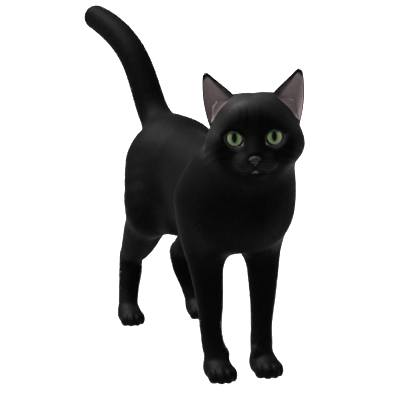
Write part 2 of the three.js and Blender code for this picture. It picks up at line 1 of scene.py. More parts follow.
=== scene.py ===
import math
import bpy
import numpy as np
from mathutils import Matrix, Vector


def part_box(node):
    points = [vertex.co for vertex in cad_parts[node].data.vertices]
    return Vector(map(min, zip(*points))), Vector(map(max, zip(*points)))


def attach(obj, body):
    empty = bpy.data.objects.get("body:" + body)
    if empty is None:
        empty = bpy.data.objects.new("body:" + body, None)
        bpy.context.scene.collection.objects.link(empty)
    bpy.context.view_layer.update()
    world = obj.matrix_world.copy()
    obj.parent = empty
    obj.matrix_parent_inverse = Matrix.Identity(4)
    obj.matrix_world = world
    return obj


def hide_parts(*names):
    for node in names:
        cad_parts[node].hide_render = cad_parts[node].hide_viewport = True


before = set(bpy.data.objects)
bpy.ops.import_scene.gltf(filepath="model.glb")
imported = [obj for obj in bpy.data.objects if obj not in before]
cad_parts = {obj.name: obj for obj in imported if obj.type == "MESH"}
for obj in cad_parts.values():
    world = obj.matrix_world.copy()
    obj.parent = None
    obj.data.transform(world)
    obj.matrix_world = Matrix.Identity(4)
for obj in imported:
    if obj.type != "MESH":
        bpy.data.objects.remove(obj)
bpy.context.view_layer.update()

# A black short-haired cat. All shapes are worked out in millimetres in the cat's own frame:
# it faces -Y, its left is +X, its soles stand on z = 0. toFrame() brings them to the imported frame.

# body sizes
spine = {"y": [-150, -105, -40, 30, 90, 125], "top": [226, 249, 252, 256, 267, 246],
         "bottom": [160, 146, 138, 146, 158, 196], "wide": [36.5, 44, 46, 43, 40, 32.5]}
trunkForms = {"breast": ([0, -135.5, 210], [34.5, 33, 43], 40),  # centre, radii, width of the blend
              "seat": ([0, 116, 208], [27, 32, 38], 20),
              "shoulder": ([33, -118, 196], [19, 34, 50], 22),
              "haunch": ([20.5, 83.5, 200], [25.5, 42, 50], 26),
              "flank": ([30.3, 5, 155.6], [13.2, 23.7, 15.2], 22)}
foreLeg = {"x": 30.4, "y": -128.3, "bulk": 1.09, "spread": 0.2, "toeIn": 2.7, "paw": 1.03}
hindLeg = {"x": 49, "y": 134.3, "bulk": 1.16, "toeIn": 3, "paw": 0.95,
           "knee": -88.8, "hock": 27.6, "inset": 15.3, "thighX": 26.7, "thighY": -52.8}
sway = {"z": [0, 50, 85, 130, 200], "fore": [3.1, 0.6, 2.5, 3.1, 0], "hind": [0.2, -0.1, 0.1, 2.5, 0]}
tail = {"root": [0, 112, 243], "length": 234.5, "steps": 18, "sway": 12,
        "at": [0, 0.14, 0.26, 0.42, 0.56, 0.72, 0.88, 1],
        "lean": [73.5, 48, 32.5, 36.5, 51.4, 65, 72.9, 79],
        "r": [24, 19.6, 18.6, 17.9, 17.4, 17, 16.3, 15.2]}
headAt = {"x": -2.5, "y": -181, "z": 277.7, "yaw": 23.2, "pitch": 5, "roll": -3}
eye = {"centre": [21, -0.5, 0], "radius": 11, "cornea": 1.3, "lid": 1.8}
nose = {"y": -26.6, "z": -22.4}
ear = {"inner": [18, 24, 41], "outer": [47, 26, 10], "tip": [51, 30, 69],
       "bowIn": [-0.7, 0, 0.8], "bowOut": [4.2, 0, -1.2], "back": [0.3, 0.93, 0.18],
       "cup": 21, "thick": 2.6, "blunt": 2.8}
mouth = [[0, -31.4], [4.4, -34.4], [9, -36], [14, -36.2], [18.5, -35.2]]  # (x, z) in the head's frame


# distances
def union(a, b, k):
    # the lesser of two distances, rounded off where they differ by less than k
    return np.minimum(a, b) - np.maximum(k - np.abs(a - b), 0) ** 2 / (4 * k)


def ball(p, centre, radii):
    # ellipsoid: with q = (p - centre) / radii, |q| (|q| - 1) / |q / radii|
    q = (p - np.asarray(centre, float)) / np.asarray(radii, float)
    s = q / np.asarray(radii, float)
    near = np.sqrt(np.einsum("ij,ij->i", q, q))
    return near * (near - 1) / np.maximum(np.sqrt(np.einsum("ij,ij->i", s, s)), 1e-6)


def limb(p, a, b):
    # distance to the line from a to b, less a radius that runs from a's to b's
    a, b = np.asarray(a, float), np.asarray(b, float)
    along, v = b[:3] - a[:3], p - a[:3]
    h = np.clip(v @ along / (along @ along), 0, 1)
    v = v - h[:, None] * along
    return np.sqrt(np.einsum("ij,ij->i", v, v)) - (a[3] + (b[3] - a[3]) * h)


def tube(p, line):
    # the least of the distances to a chain of limbs
    d = limb(p, line[0], line[1])
    for a, b in zip(line[1:-1], line[2:]):
        d = np.minimum(d, limb(p, a, b))
    return d


def spline(t, at, value):
    # Hermite curve through (at, value), flat past its ends
    at, value = np.asarray(at, float), np.asarray(value, float)
    slope = np.empty_like(value)
    slope[1:-1] = (value[2:] - value[:-2]) / (at[2:] - at[:-2])
    slope[0] = (value[1] - value[0]) / (at[1] - at[0])
    slope[-1] = (value[-1] - value[-2]) / (at[-1] - at[-2])
    x = np.clip(t, at[0], at[-1])
    i = np.clip(np.searchsorted(at, x, side="right") - 1, 0, len(at) - 2)
    w = at[i + 1] - at[i]
    u = (x - at[i]) / w
    return (value[i] + (value[i + 1] - value[i]) * u * u * (3 - 2 * u)
            + (u ** 3 - 2 * u * u + u) * w * slope[i] + (u ** 3 - u * u) * w * slope[i + 1])


def strand(stations, steps):
    # even steps along a curve through a few stations: (x, y, z, r), or (x, z) for a line on the face
    stations = np.array(stations, float)
    at = np.concatenate([[0], np.cumsum(np.linalg.norm(np.diff(stations[:, :3], axis=0), axis=1))])
    t = np.linspace(0, at[-1], steps + 1)
    return np.stack([spline(t, at, column) for column in stations.T], -1)


def fold(p):
    # the point or its mirror image, whichever has x above zero
    return np.abs(p * [1, 0, 0]) + p * [0, 1, 1]


def unit(v):
    # v / |v|
    return v / np.maximum(np.linalg.norm(v, axis=-1, keepdims=True), 1e-9)


# head frame: x to its left, y to its back, z up, origin midway between the eyes
def headBasis():
    # three axes, turned by yaw about z, then raised by pitch, then rolled about the way the head looks
    yaw, pitch, roll = np.radians([headAt["yaw"], headAt["pitch"], headAt["roll"]])
    ahead = np.array([-math.sin(yaw) * math.cos(pitch), -math.cos(yaw) * math.cos(pitch), math.sin(pitch)])
    level = np.array([math.cos(yaw), -math.sin(yaw), 0])
    upright = np.cross(ahead, level)
    left = level * math.cos(-roll) + np.cross(ahead, level) * math.sin(-roll)
    up = upright * math.cos(-roll) + np.cross(ahead, upright) * math.sin(-roll)
    return np.stack([left, -ahead, up])


sides = ((1, "left"), (-1, "right"))
headAxes = headBasis()
headOrigin = np.array([headAt["x"], headAt["y"], headAt["z"]], float)


def toHead(p):
    # (p - origin) turned into the head's axes
    return (p - headOrigin) @ headAxes.T


def fromHead(q):
    # the reverse of toHead
    return np.asarray(q, float) @ headAxes + headOrigin


# the parts of the body as distances
neckTop = [*fromHead([0, 34, -10]), 38]
neckRoot = [0, -132, 205, 50]
neckMiddle = [*[(a + b) / 2 for a, b in zip(neckRoot[:3], neckTop[:3])], 46]
neckLine = strand([neckRoot, neckMiddle, neckTop], 6)


def tailLine():
    # even steps, each leaning from upright by the angle that the tail has there
    step, turn = tail["length"] / tail["steps"], math.radians(tail["sway"])
    share = (np.arange(tail["steps"]) + 0.5) / tail["steps"]
    lean = np.radians(spline(share, tail["at"], tail["lean"]))
    way = np.stack([-np.sin(lean) * math.sin(turn), np.sin(lean) * math.cos(turn), np.cos(lean)], -1)
    points = np.vstack([tail["root"], tail["root"] + np.cumsum(way * step, 0)])
    r = spline(np.linspace(0, 1, tail["steps"] + 1), tail["at"], tail["r"])
    return np.column_stack([points, r])


tailPath = tailLine()


def legLines():
    # stations (x, y, z, r) down a fore leg, a thigh, a shank and a hind foot, from the paws' places
    x, y, b, s, t = (foreLeg[k] for k in ("x", "y", "bulk", "spread", "toeIn"))
    fore = strand([[x + 7 + s, y + 16, 200, 25], [x + 5 + s, y + 24, 150, 19.5 * b],
                   [x + 3 + s * 0.8, y + 18, 118, 16.3 * b], [x + 1 + s * 0.3, y + 11, 84, 13 * b],
                   [x, y + 7, 55, 10.8 * b], [x - t / 2, y + 4, 38, 11.4 * b], [x - t, y + 2, 22, 12]], 12)
    x, y, b, k, o, n, t = (hindLeg[k] for k in ("x", "y", "bulk", "knee", "hock", "inset", "toeIn"))
    thigh = strand([[x - hindLeg["thighX"], y + hindLeg["thighY"], 206, 38],
                    [x - 8, y + (hindLeg["thighY"] + k) / 2 - 4, 178, 30.1], [x - 3, y + k, 156, 20.5]], 5)
    shank = strand([[x - 3, y + k + 3, 160, 20.6 * b],
                    [x - n * 0.5, y + k * 0.55 + o * 0.45 - 7.6, 130, 20.8 * b],
                    [x - n * 0.8, y + k * 0.22 + o * 0.78 - 9.4, 102, 17 * b],
                    [x - n, y + o, 82, 11.2 * b]], 8)
    foot = strand([[x - n, y + o + 2, 80, 9.8 * b], [x - n * 0.9, y + o - 4, 66, 12.5 * b],
                   [x - n * 0.5, y + o * 0.5, 40, 10.6 * b], [x - 1 - t, y + 6, 20, 12]], 6)
    return fore, thigh, shank, foot


forePath, thighPath, shankPath, footPath = legLines()
toes = [[-10.8, -17], [-3.9, -22], [3.9, -22], [10.8, -17]]


def paw(q, x, y, big):
    # a low ellipsoid with four smaller ones for the toes
    d = ball(q, [x, y - 5, 11.5 * big], [16 * big, 20 * big, 13.5 * big])
    for tx, ty in toes:
        toe = ball(q, [x + tx * big, y + ty * big, 8.6 * big], [5.6 * big, 8.5 * big, 9 * big])
        d = union(d, toe, 2.6)
    return d


def torso(p):
    # along y an ellipse between the top and bottom lines, with rounded ends, joined with breast, seat,
    # shoulders, haunches and flanks
    top, bottom, wide = (spline(p[:, 1], spine["y"], spine[k]) for k in ("top", "bottom", "wide"))
    high = (top - bottom) / 2
    section = (np.hypot(p[:, 0] / wide, (p[:, 2] - bottom - high) / high) - 1) * np.minimum(wide, high)
    first, last = spine["y"][0], spine["y"][-1]
    over = np.maximum(np.abs(p[:, 1] - (first + last) / 2) - (last - first) / 2, 0)
    d = np.hypot(np.maximum(section, 0), over) + np.minimum(section, 0)
    q = fold(p)
    for name in ("breast", "seat", "shoulder", "haunch", "flank"):
        centre, radii, k = trunkForms[name]
        d = union(d, ball(q, centre, radii), k)
    return d


def head(q):
    # rounded union of ellipsoids, from the braincase to the chin
    a = fold(q)
    d = ball(a, [13, 34, 7.4], [34, 42, 39])  # braincase
    d = union(d, ball(q, [0, 34, 7.4], [34, 42, 38]), 6)
    d = union(d, ball(a, [28.2, 14, -8], [24.5, 28, 23]), 12)  # cheek
    d = union(d, ball(q, [0, 2, 14], [30, 17, 24]), 14)  # forehead
    d = union(d, ball(q, [0, 6, -24], [27, 28, 17]), 12)  # jaw
    d = union(d, limb(q, [0, -3, 5, 12], [0, -22.5, -17.5, 8]), 12)  # bridge of the nose
    d = union(d, ball(a, eye["centre"], [eye["radius"] + eye["lid"]] * 3), 4)  # lids
    d = union(d, ball(a, [9.5, -17, -26], [12.5, 13, 10]), 6)  # whisker pad
    d = union(d, ball(q, [0, -13, -36.5], [11, 11, 7]), 5)  # chin
    return union(d, ball(a, [32, 38, 26], [15, 14, 16]), 12)  # root of the ear


def behindEar(a):
    # how far a folded head-frame point lies behind the ear's cup: with a = middle + up v + across s
    # + back h, it is h - cup * (1 - v)^0.75 * (1 - (s / (1 - v))^2)^0.5
    inner, outer, tip, back = (np.array(ear[k], float) for k in ("inner", "outer", "tip", "back"))
    middle = (inner + outer) / 2
    v, s, h = ((a - middle) @ np.linalg.inv(np.stack([tip - middle, (outer - inner) / 2, unit(back)]))).T
    left = np.maximum(1 - v, 0.05)
    t = np.clip(s / left, -1, 1)
    return h - ear["cup"] * np.minimum(left, 1) ** 0.75 * np.sqrt(1 - t * t)


def conch(a):
    # the hollow at the foot of each ear's front: two limbs, ended before the ear's sheet
    hollow = limb(a, [34, 20, 44, 8], [47, 24, 25, 6])
    hollow = union(hollow, limb(a, [32, 31, 43, 8.5], [47, 32, 24, 7.5]), 6)
    return -union(-hollow, -behindEar(a) - 2, 1.5)


def skull(q):
    # the head with the hollows before the ears taken out
    return -union(-head(q), conch(fold(q)), 3)


def within(p, low, high, form):
    # the distance only for the points inside a box, and far for all others
    d = np.full(len(p), 99.0)
    inside = np.all((p > low) & (p < high), axis=1)
    if inside.any():
        d[inside] = form(p[inside])
    return d


def foreForm(p):
    # a leg leans aside by its sway at each height; the moved point is handed on to its paw
    q = fold(p - spline(p[:, 2], sway["z"], sway["fore"])[:, None] * [1, 0, 0])
    return tube(q, forePath), q


def hindForm(p):
    # the same for a hind leg, its thigh, shank and foot joined
    q = fold(p - spline(p[:, 2], sway["z"], sway["hind"])[:, None] * [1, 0, 0])
    d = union(tube(q, thighPath), tube(q, shankPath), 22)
    return union(d, tube(q, footPath), 8), q


def forePaw(q):
    # a paw with the small swelling of the fifth toe on its inner side
    x, y = foreLeg["x"] - foreLeg["toeIn"], foreLeg["y"]
    return union(paw(q, x, y, foreLeg["paw"]), ball(q, [x - 9.5, y - 5, 29], [4, 5, 6]), 5)


def hindPaw(q):
    return paw(q, hindLeg["x"] - hindLeg["toeIn"], hindLeg["y"], hindLeg["paw"])


# the boxes outside which a part is never the nearest
reach = {"torso": ([-99, -260, 95], [99, 190, 330]), "neck": ([-99, -300, 120], [99, -40, 350]),
         "fore": ([-99, -200, -20], [99, -40, 260]), "hind": ([-99, -30, -20], [99, 220, 290]),
         "tail": ([-99, 60, 190], [99, 420, 460]), "head": ([-99, -290, 180], [99, -70, 400]),
         "forePaw": ([-99, -200, -30], [99, -60, 60]), "hindPaw": ([-99, 60, -30], [99, 190, 60])}
# each part with the width of its blend into those before it
blends = (("neck", 36, lambda q: tube(q, neckLine)), ("fore", 22, lambda q: foreForm(q)[0]),
          ("hind", 26, lambda q: hindForm(q)[0]), ("tail", 16, lambda q: tube(q, tailPath)),
          ("forePaw", 8, lambda q: forePaw(foreForm(q)[1])),
          ("hindPaw", 8, lambda q: hindPaw(hindForm(q)[1])),
          ("head", 18, lambda q: skull(toHead(q))))


def catField(p):
    # smooth union of trunk, neck, legs, tail, paws and skull
    d = within(p, *reach["torso"], torso)
    for name, k, form in blends:
        d = union(d, within(p, *reach[name], form), k)
    return d


def slopeOf(field, p, h=0.05):
    # differences of the field h to each side, along each axis
    columns = []
    for axis in np.eye(3) * h:
        columns.append((field(p + axis) - field(p - axis)) / (2 * h))
    return np.stack(columns, -1)


def settle(field, p, level=0, rounds=2):
    # Newton steps to the place where the field has the given level
    for _ in range(rounds):
        slope = slopeOf(field, p)
        steep = np.maximum(np.einsum("ij,ij->i", slope, slope), 0.1)
        p = p - ((field(p) - level) / steep)[:, None] * slope
    return p


# from a field to triangles
def surfaceNet(field, low, high, cell):
    # one point in each grid cell that the surface crosses, one quad round each grid edge that it crosses
    low = np.array(low, float)
    n = np.ceil((np.array(high) - low) / cell).astype(int) + 1
    axes = [low[i] + cell * np.arange(n[i]) for i in range(3)]
    value = np.empty(tuple(n))
    for i in range(0, n[0], 8):
        block = np.stack(np.meshgrid(axes[0][i:i + 8], axes[1], axes[2], indexing="ij"), -1)
        value[i:i + 8] = field(block.reshape(-1, 3)).reshape(block.shape[:3])
    inside = value < 0
    corners = [inside[a:n[0] - 1 + a, b:n[1] - 1 + b, c:n[2] - 1 + c]
               for a in (0, 1) for b in (0, 1) for c in (0, 1)]
    full = sum(c.astype(np.int8) for c in corners)
    crossed = (full > 0) & (full < 8)
    number = np.full(crossed.shape, -1)
    number[crossed] = np.arange(crossed.sum())
    at = np.argwhere(crossed)
    total, count = np.zeros((len(at), 3)), np.zeros(len(at))
    for axis in range(3):
        for s, t in ((0, 0), (0, 1), (1, 0), (1, 1)):
            start = np.zeros(3, int)
            start[(axis + 1) % 3], start[(axis + 2) % 3] = s, t
            end = start.copy()
            end[axis] = 1
            a, b = value[tuple((at + start).T)], value[tuple((at + end).T)]
            cross = (a < 0) != (b < 0)
            spot = np.repeat(start[None].astype(float), len(at), 0)
            spot[:, axis] = np.where(cross, a / np.where(cross, a - b, 1), 0)
            total += spot * cross[:, None]
            count += cross
    points = low + cell * (at + total / count[:, None])
    quads = []
    for axis in range(3):
        b, c = (axis + 1) % 3, (axis + 2) % 3
        near = [slice(1, n[k] - 1) for k in range(3)]
        near[axis] = slice(0, n[axis] - 1)
        far = list(near)
        far[axis] = slice(1, n[axis])
        first, second = inside[tuple(near)], inside[tuple(far)]
        edge = np.argwhere(first != second)
        outward = first[tuple(edge.T)]
        base = edge + 1
        base[:, axis] -= 1
        ring = []
        for s, t in ((1, 1), (0, 1), (0, 0), (1, 0)):
            cellAt = base.copy()
            cellAt[:, b] -= s
            cellAt[:, c] -= t
            ring.append(number[tuple(cellAt.T)])
        quad = np.stack(ring, -1)
        quad[~outward] = quad[~outward][:, ::-1]
        quads.append(quad)
    quads = np.vstack(quads)
    return points, np.vstack([quads[:, [0, 1, 2]], quads[:, [0, 2, 3]]])


def edgesOf(faces, size):
    # each edge once: its two ends, and for each corner of a face the number of the edge that starts there
    ends = np.stack([faces, np.roll(faces, -1, axis=1)], -1)
    ends.sort(axis=2)
    key = ends[..., 0].astype(np.int64) * size + ends[..., 1]
    unique, back = np.unique(key.ravel(), return_inverse=True)
    return np.stack([unique // size, unique % size], -1), back.reshape(-1, 3)


def splitLong(points, faces, spacing):
    # halves each edge longer than 1.4 times the spacing at its middle, and the triangles beside it
    ends, back = edgesOf(faces, len(points))
    middle = points[ends].mean(1)
    long = np.linalg.norm(points[ends[:, 0]] - points[ends[:, 1]], axis=1) > 1.4 * spacing(middle)
    number = np.where(long, len(points) + np.cumsum(long) - 1, -1)
    points = np.vstack([points, middle[long]])
    m = number[back]
    count = (m >= 0).sum(1)
    turn = np.where(count == 2, (np.argmax(m < 0, 1) + 1) % 3, 0)
    turn = np.where(count == 1, np.argmax(m >= 0, 1), turn)
    order = (np.arange(3) + turn[:, None]) % 3
    (a, b, c), (x, y, z) = np.take_along_axis(faces, order, 1).T, np.take_along_axis(m, order, 1).T
    pieces = [faces[count == 0]]
    for how, triangles in ((1, ((a, x, c), (x, b, c))), (2, ((x, b, y), (a, x, y), (a, y, c))),
                           (3, ((a, x, z), (x, b, y), (z, y, c), (x, y, z)))):
        pieces += [np.stack(t, -1)[count == how] for t in triangles]
    return points, np.vstack(pieces)


def flipEdges(points, faces):
    # turns an edge where the other diagonal makes rounder triangles, the worst edge of each triangle first
    ends, back = edgesOf(faces, len(points))
    order = np.argsort(back.ravel(), kind="stable")
    owner, corner = order // 3, order % 3
    first, second = owner[0::2], owner[1::2]
    ca, cb = corner[0::2], corner[1::2]
    a, b = faces[first, ca], faces[first, (ca + 1) % 3]
    c, d = faces[first, (ca + 2) % 3], faces[second, (cb + 2) % 3]

    def angle(at, one, two):
        u, v = unit(points[one] - points[at]), unit(points[two] - points[at])
        return np.arccos(np.clip(np.einsum("ij,ij->i", u, v), -1, 1))

    bad = angle(c, a, b) + angle(d, a, b) - math.pi - 0.1
    low, high = np.minimum(c, d).astype(np.int64), np.maximum(c, d)
    bad[np.isin(low * len(points) + high, ends[:, 0] * len(points) + ends[:, 1])] = -1
    worst = np.full(len(faces), -9.0)
    np.maximum.at(worst, first, bad)
    np.maximum.at(worst, second, bad)
    take = (bad > 0) & (bad >= worst[first]) & (bad >= worst[second])
    faces = faces.copy()
    faces[first[take]] = np.stack([c[take], a[take], d[take]], -1)
    faces[second[take]] = np.stack([d[take], b[take], c[take]], -1)
    return faces


def cornerSums(faces, value, size):
    # for each point the sum of the vectors given at the faces' corners
    return np.stack([np.bincount(faces.ravel(), value[:, k], size) for k in range(3)], -1)


def relax(points, faces, weight=0.5):
    # each point moves towards the mean of its neighbours
    near = np.roll(faces, -1, axis=1).ravel()
    count = np.bincount(faces.ravel(), minlength=len(points))
    mean = cornerSums(faces, points[near], len(points))
    return points + (mean / count[:, None] - points) * weight


def cleanNet(field, low, high, cell, tries=12):
    # the net of a grid that is moved a little until every edge lies between just two triangles
    for i in range(tries):
        points, faces = surfaceNet(field, np.array(low) - i * cell / tries, high, cell)
        _, back = edgesOf(faces, len(points))
        if np.all(np.bincount(back.ravel()) == 2):
            return points, faces
    raise ValueError("no grid gives a clean net")


def normalsOf(points, faces):
    # at each point the mean of its faces' normals, by area
    a, b, c = points[faces].transpose(1, 0, 2)
    return unit(cornerSums(faces, np.repeat(np.cross(b - a, c - a), 3, 0), len(points)))


# which part of the body a point belongs to
partNames = ["trunk", "neck", "foreLeg", "hindLeg", "tail", "head"]


def withFoot(form, foot):
    # the lesser of a leg's distance and its paw's
    def least(p):
        d, q = form(p)
        return np.minimum(d, foot(q))
    return least


def shares(p, blend=5.0, most=28.0):
    # how much each part owns a point: exp(-distance / blend), none past most, made to add up to one
    d = np.stack([torso(p), tube(p, neckLine),
                  within(p, *reach["fore"], withFoot(foreForm, forePaw)),
                  within(p, *reach["hind"], withFoot(hindForm, hindPaw)),
                  within(p, *reach["tail"], lambda q: tube(q, tailPath)),
                  within(p, *reach["head"], lambda q: skull(toHead(q)))], -1)
    d -= d.min(1, keepdims=True)
    w = np.maximum(np.exp(-d / blend) - math.exp(-most / blend), 0)
    return w / w.sum(1, keepdims=True)


def smooth(x, low, high):
    # 0 at low, 1 at high, t^2 (3 - 2 t) between
    t = np.clip((x - low) / (high - low), 0, 1)
    return t * t * (3 - 2 * t)


print("stage: body field ready")

# skin: the body's surface, inside the solids by the coat's depth
skin = {"cell": 3.4, "spacing": {"body": 4.4, "head": 1.7, "face": 0.8, "paw": 1.5, "lid": 0.5},
        "depth": {"trunk": 2.4, "neck": 2.4, "foreLeg": 1.7, "hindLeg": 1.9, "tail": 2.4, "head": 1.5},
        "faceDepth": 0.6, "pawDepth": 0.8, "hollowDepth": 0.3, "rounds": 3,
        "mouthDeep": 2.6, "mouthWide": 0.85,
        "philtrum": [[0, -27.5], [0, -31.4]], "philtrumDeep": 1.0, "philtrumWide": 0.7,
        "lidOut": 12.15, "lidIn": 9.7, "lidSlope": 5.0, "lidSink": 3.0}
lids = {"inner": [-8.8, -6.6], "outer": [10.1, 2.6], "upper": [[-12.0, 5.2], [1.5, 12.2]],
        "lower": [[9.2, -7.6], [-0.5, -11.2]]}


def depthAt(p):
    # how far the skin lies under the coat's outer face
    q = toHead(p)
    deep = shares(p) @ np.array([skin["depth"][k] for k in partNames])
    face = smooth(ball(q, [0, -6, -12], [40, 30, 36]), 14, -2)
    deep = deep + (skin["faceDepth"] - deep) * face
    deep = deep + (skin["hollowDepth"] - deep) * smooth(conch(fold(q)), 4, 1.5)
    foot = smooth(p[:, 2], 45, 12)
    return deep + (skin["pawDepth"] - deep) * foot


def skinSpacing(p):
    # length of the skin's edges: short at the lids, face and paws, longer with the distance from them
    q, s = toHead(p), skin["spacing"]
    face = ball(q, [0, -14, -14], [33, 22, 26])
    head = ball(q, [0, 20, 4], [50, 46, 46])
    step = np.minimum(s["face"] + 0.14 * np.maximum(face, 0), s["head"] + 0.25 * np.maximum(head, 0))
    step = np.minimum(step, s["paw"] + 0.15 * np.maximum(p[:, 2] - 26, 0))
    lid = ball(fold(q) + [0, 4, 0], eye["centre"], [14, 13, 13])
    step = np.minimum(step, s["lid"] + 0.2 * np.maximum(lid, 0))
    return np.minimum(step, s["body"])


def lidOutline(steps=48):
    # the two Bezier edges of the opening as a closed line of (x, z) from the eye's centre
    t = np.linspace(0, 1, steps, endpoint=False)[:, None]

    def curve(a, b, c, d):
        a, b, c, d = (np.array(v, float) for v in (a, b, c, d))
        return (1 - t) ** 3 * a + 3 * (1 - t) ** 2 * t * b + 3 * (1 - t) * t * t * c + t ** 3 * d

    upper = curve(lids["inner"], *lids["upper"], lids["outer"])
    lower = curve(lids["outer"], *lids["lower"], lids["inner"])
    return np.vstack([upper, lower])


def lineDistance(p, line, closed=False):
    # distance in the plane from points to a line of short steps
    ends = np.vstack([line, line[:1]]) if closed else line
    best = np.full(len(p), 99.0)
    for a, b in zip(ends[:-1], ends[1:]):
        v, along = p - a, b - a
        h = np.clip(v @ along / (along @ along), 0, 1)
        best = np.minimum(best, np.hypot(*(v - h[:, None] * along).T))
    return best


def insideOutline(p, line):
    # counts crossings of a ray to the right
    ends = np.vstack([line, line[:1]])
    odd = np.zeros(len(p), bool)
    for a, b in zip(ends[:-1], ends[1:]):
        cross = (a[1] > p[:, 1]) != (b[1] > p[:, 1])
        x = a[0] + (p[:, 1] - a[1]) * (b[0] - a[0]) / (b[1] - a[1] + 1e-12)
        odd ^= cross & (p[:, 0] < x)
    return odd


def earSheet(v, t, thick=0.0):
    # half an ellipse behind the chord from the inner to the outer edge, narrowing to the tip:
    # middle + half chord * sin(90 t) + back * cup * (1 - v)^0.75 * cos(90 t), widened by
    # blunt * v^6 * (1 - v^12)^0.5 each side so that the tip is round
    w = np.clip(v, 0, 1)[..., None]
    inner, outer, tip, back = (np.array(ear[k], float) for k in ("inner", "outer", "tip", "back"))
    v = v[..., None]
    a = inner + (tip - inner) * v + np.array(ear["bowIn"]) * np.sin(math.pi * w)
    b = outer + (tip - outer) * v + np.array(ear["bowOut"]) * np.sin(math.pi * 0.9 * w)
    t = t[..., None]
    wider = unit(outer - inner) * ear["blunt"] * w ** 6 * np.sqrt(1 - w ** 12)
    a, b = a - wider, b + wider
    deep = ear["cup"] * (1 - w) ** 0.75 * np.cos(t * math.pi / 2)
    bulk = ear["thick"] * (0.3 + 0.7 * np.cos(t * math.pi / 2)) * (1 - 0.55 * np.maximum(v, 0))
    return (a + b) / 2 + (b - a) / 2 * np.sin(t * math.pi / 2) + unit(back) * (deep - thick * bulk)


def bands(rows, count):
    # corners a, b, c, d of the quads between closed rings of count points each, rows rings of quads in all
    row, i = (v.ravel() for v in np.meshgrid(np.arange(rows), np.arange(count), indexing="ij"))
    a, b = row * count + i, row * count + (i + 1) % count
    return a, b, b + count, a + count


def earSolid(side, rows=44, columns=30, inset=0.35):
    # the sheet and the same sheet inside it as one closed ring for each row
    v = -0.2 + np.linspace(0, 0.985 + 0.2, rows + 1)
    t = np.linspace(-1, 1, columns + 1)
    vv, tt = np.meshgrid(v, t, indexing="ij")
    share = inset / ear["thick"]
    outside, inside = earSheet(vv, tt, share), earSheet(vv, tt, 1 - share)
    rings = np.concatenate([outside, inside[:, ::-1]], 1)
    count = rings.shape[1]
    points = fromHead(rings.reshape(-1, 3) * [side, 1, 1])
    a, b, c, d = bands(rows, count)
    faces = [np.stack([a, c, b], -1), np.stack([a, d, c], -1)]
    i, top = np.arange(columns), rows * count
    a, b, c, d = i, i + 1, count - 2 - i, count - 1 - i
    faces += [np.stack([a, b, c], -1), np.stack([a, c, d], -1)]
    faces += [top + np.stack([a, c, b], -1), top + np.stack([a, d, c], -1)]
    faces = np.vstack(faces)
    layer = np.repeat([[0.0] * (columns + 1) + [1.0] * (columns + 1)], rows + 1, 0)
    marks = {"earUp": np.concatenate([vv, vv], 1), "earAcross": np.concatenate([tt, tt[:, ::-1]], 1),
             "earInside": layer}
    return points, faces if side > 0 else faces[:, ::-1], marks


def toFrame(p):
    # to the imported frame, in metres
    return (p + shift) / 1000


def newPiece(name, points, corners, starts):
    # points in the cat's frame, the point at each corner of the faces, and the corner where each face starts
    mesh = bpy.data.meshes.new(name)
    mesh.vertices.add(len(points))
    mesh.vertices.foreach_set("co", toFrame(points).astype(np.float32).ravel())
    mesh.loops.add(len(corners))
    mesh.loops.foreach_set("vertex_index", corners.astype(np.int32))
    mesh.polygons.add(len(starts))
    mesh.polygons.foreach_set("loop_start", starts.astype(np.int32))
    mesh.polygons.foreach_set("use_smooth", np.ones(len(starts), bool))
    mesh.update(calc_edges=True)
    piece = bpy.data.objects.new(name, mesh)
    bpy.context.scene.collection.objects.link(piece)
    return piece


def meshFrom(name, points, faces):
    # a piece of triangles
    piece = newPiece(name, points, faces.ravel(), np.arange(0, faces.size, 3))
    piece.data.validate()
    return piece


def addNumber(piece, name, value):
    attribute = piece.data.attributes.new(name, "FLOAT", "POINT")
    attribute.data.foreach_set("value", np.asarray(value, np.float32).ravel())


def frameShift():
    # from the cat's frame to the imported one: the mean of what moves each eye to its packed box
    moves = []
    for side, name in sides:
        centre, r = fromHead(np.array(eye["centre"]) * [side, 1, 1]), eye["radius"]
        tip = centre - headAxes[1] * (r + eye["cornea"])
        middle = (np.minimum(centre - r, tip) + np.maximum(centre + r, tip)) / 2
        moves.append(np.mean([np.array(c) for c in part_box("eye_" + name)], 0) * 1000 - middle)
    return np.mean(moves, 0)


shift = frameShift()
print("frame shift", shift.round(2))


def fromEye(q, side):
    # a head-frame point from one eye's centre, with the inner corner at negative x
    return q * [side, 1, 1] - eye["centre"]


def openingGap(q):
    # how far a head-frame point lies outside the nearer eye's opening, seen from the front
    edge = lidOutline()
    best = np.full(len(q), 99.0)
    for side in (1, -1):
        out = fromEye(q, side)
        close = (np.abs(out[:, 0]) < 22) & (np.abs(out[:, 2]) < 20) & (out[:, 1] < 4)
        flat = out[close][:, [0, 2]]
        away = lineDistance(flat, edge, True)
        best[close] = np.minimum(best[close], np.where(insideOutline(flat, edge), -away, away))
    return best


def onLid(out):
    # y of a lid point (x, y, z from the eye's centre): drawn back to the lids' ball, by lidSink at most
    over = -np.sqrt(np.maximum(skin["lidOut"] ** 2 - out[:, 0] ** 2 - out[:, 2] ** 2, 4))
    return out[:, 1] + np.clip(over - out[:, 1], 0, skin["lidSink"])


def faceFront(x, z):
    # y of the skin's front at head-frame (x, z), found by halving
    ahead, within = np.full(len(x), -45.0), np.full(len(x), 5.0)
    for _ in range(24):
        y = (ahead + within) / 2
        inside = skull(np.stack([x, y, z], -1)) < -skin["faceDepth"]
        ahead, within = np.where(inside, ahead, y), np.where(inside, y, within)
    return within


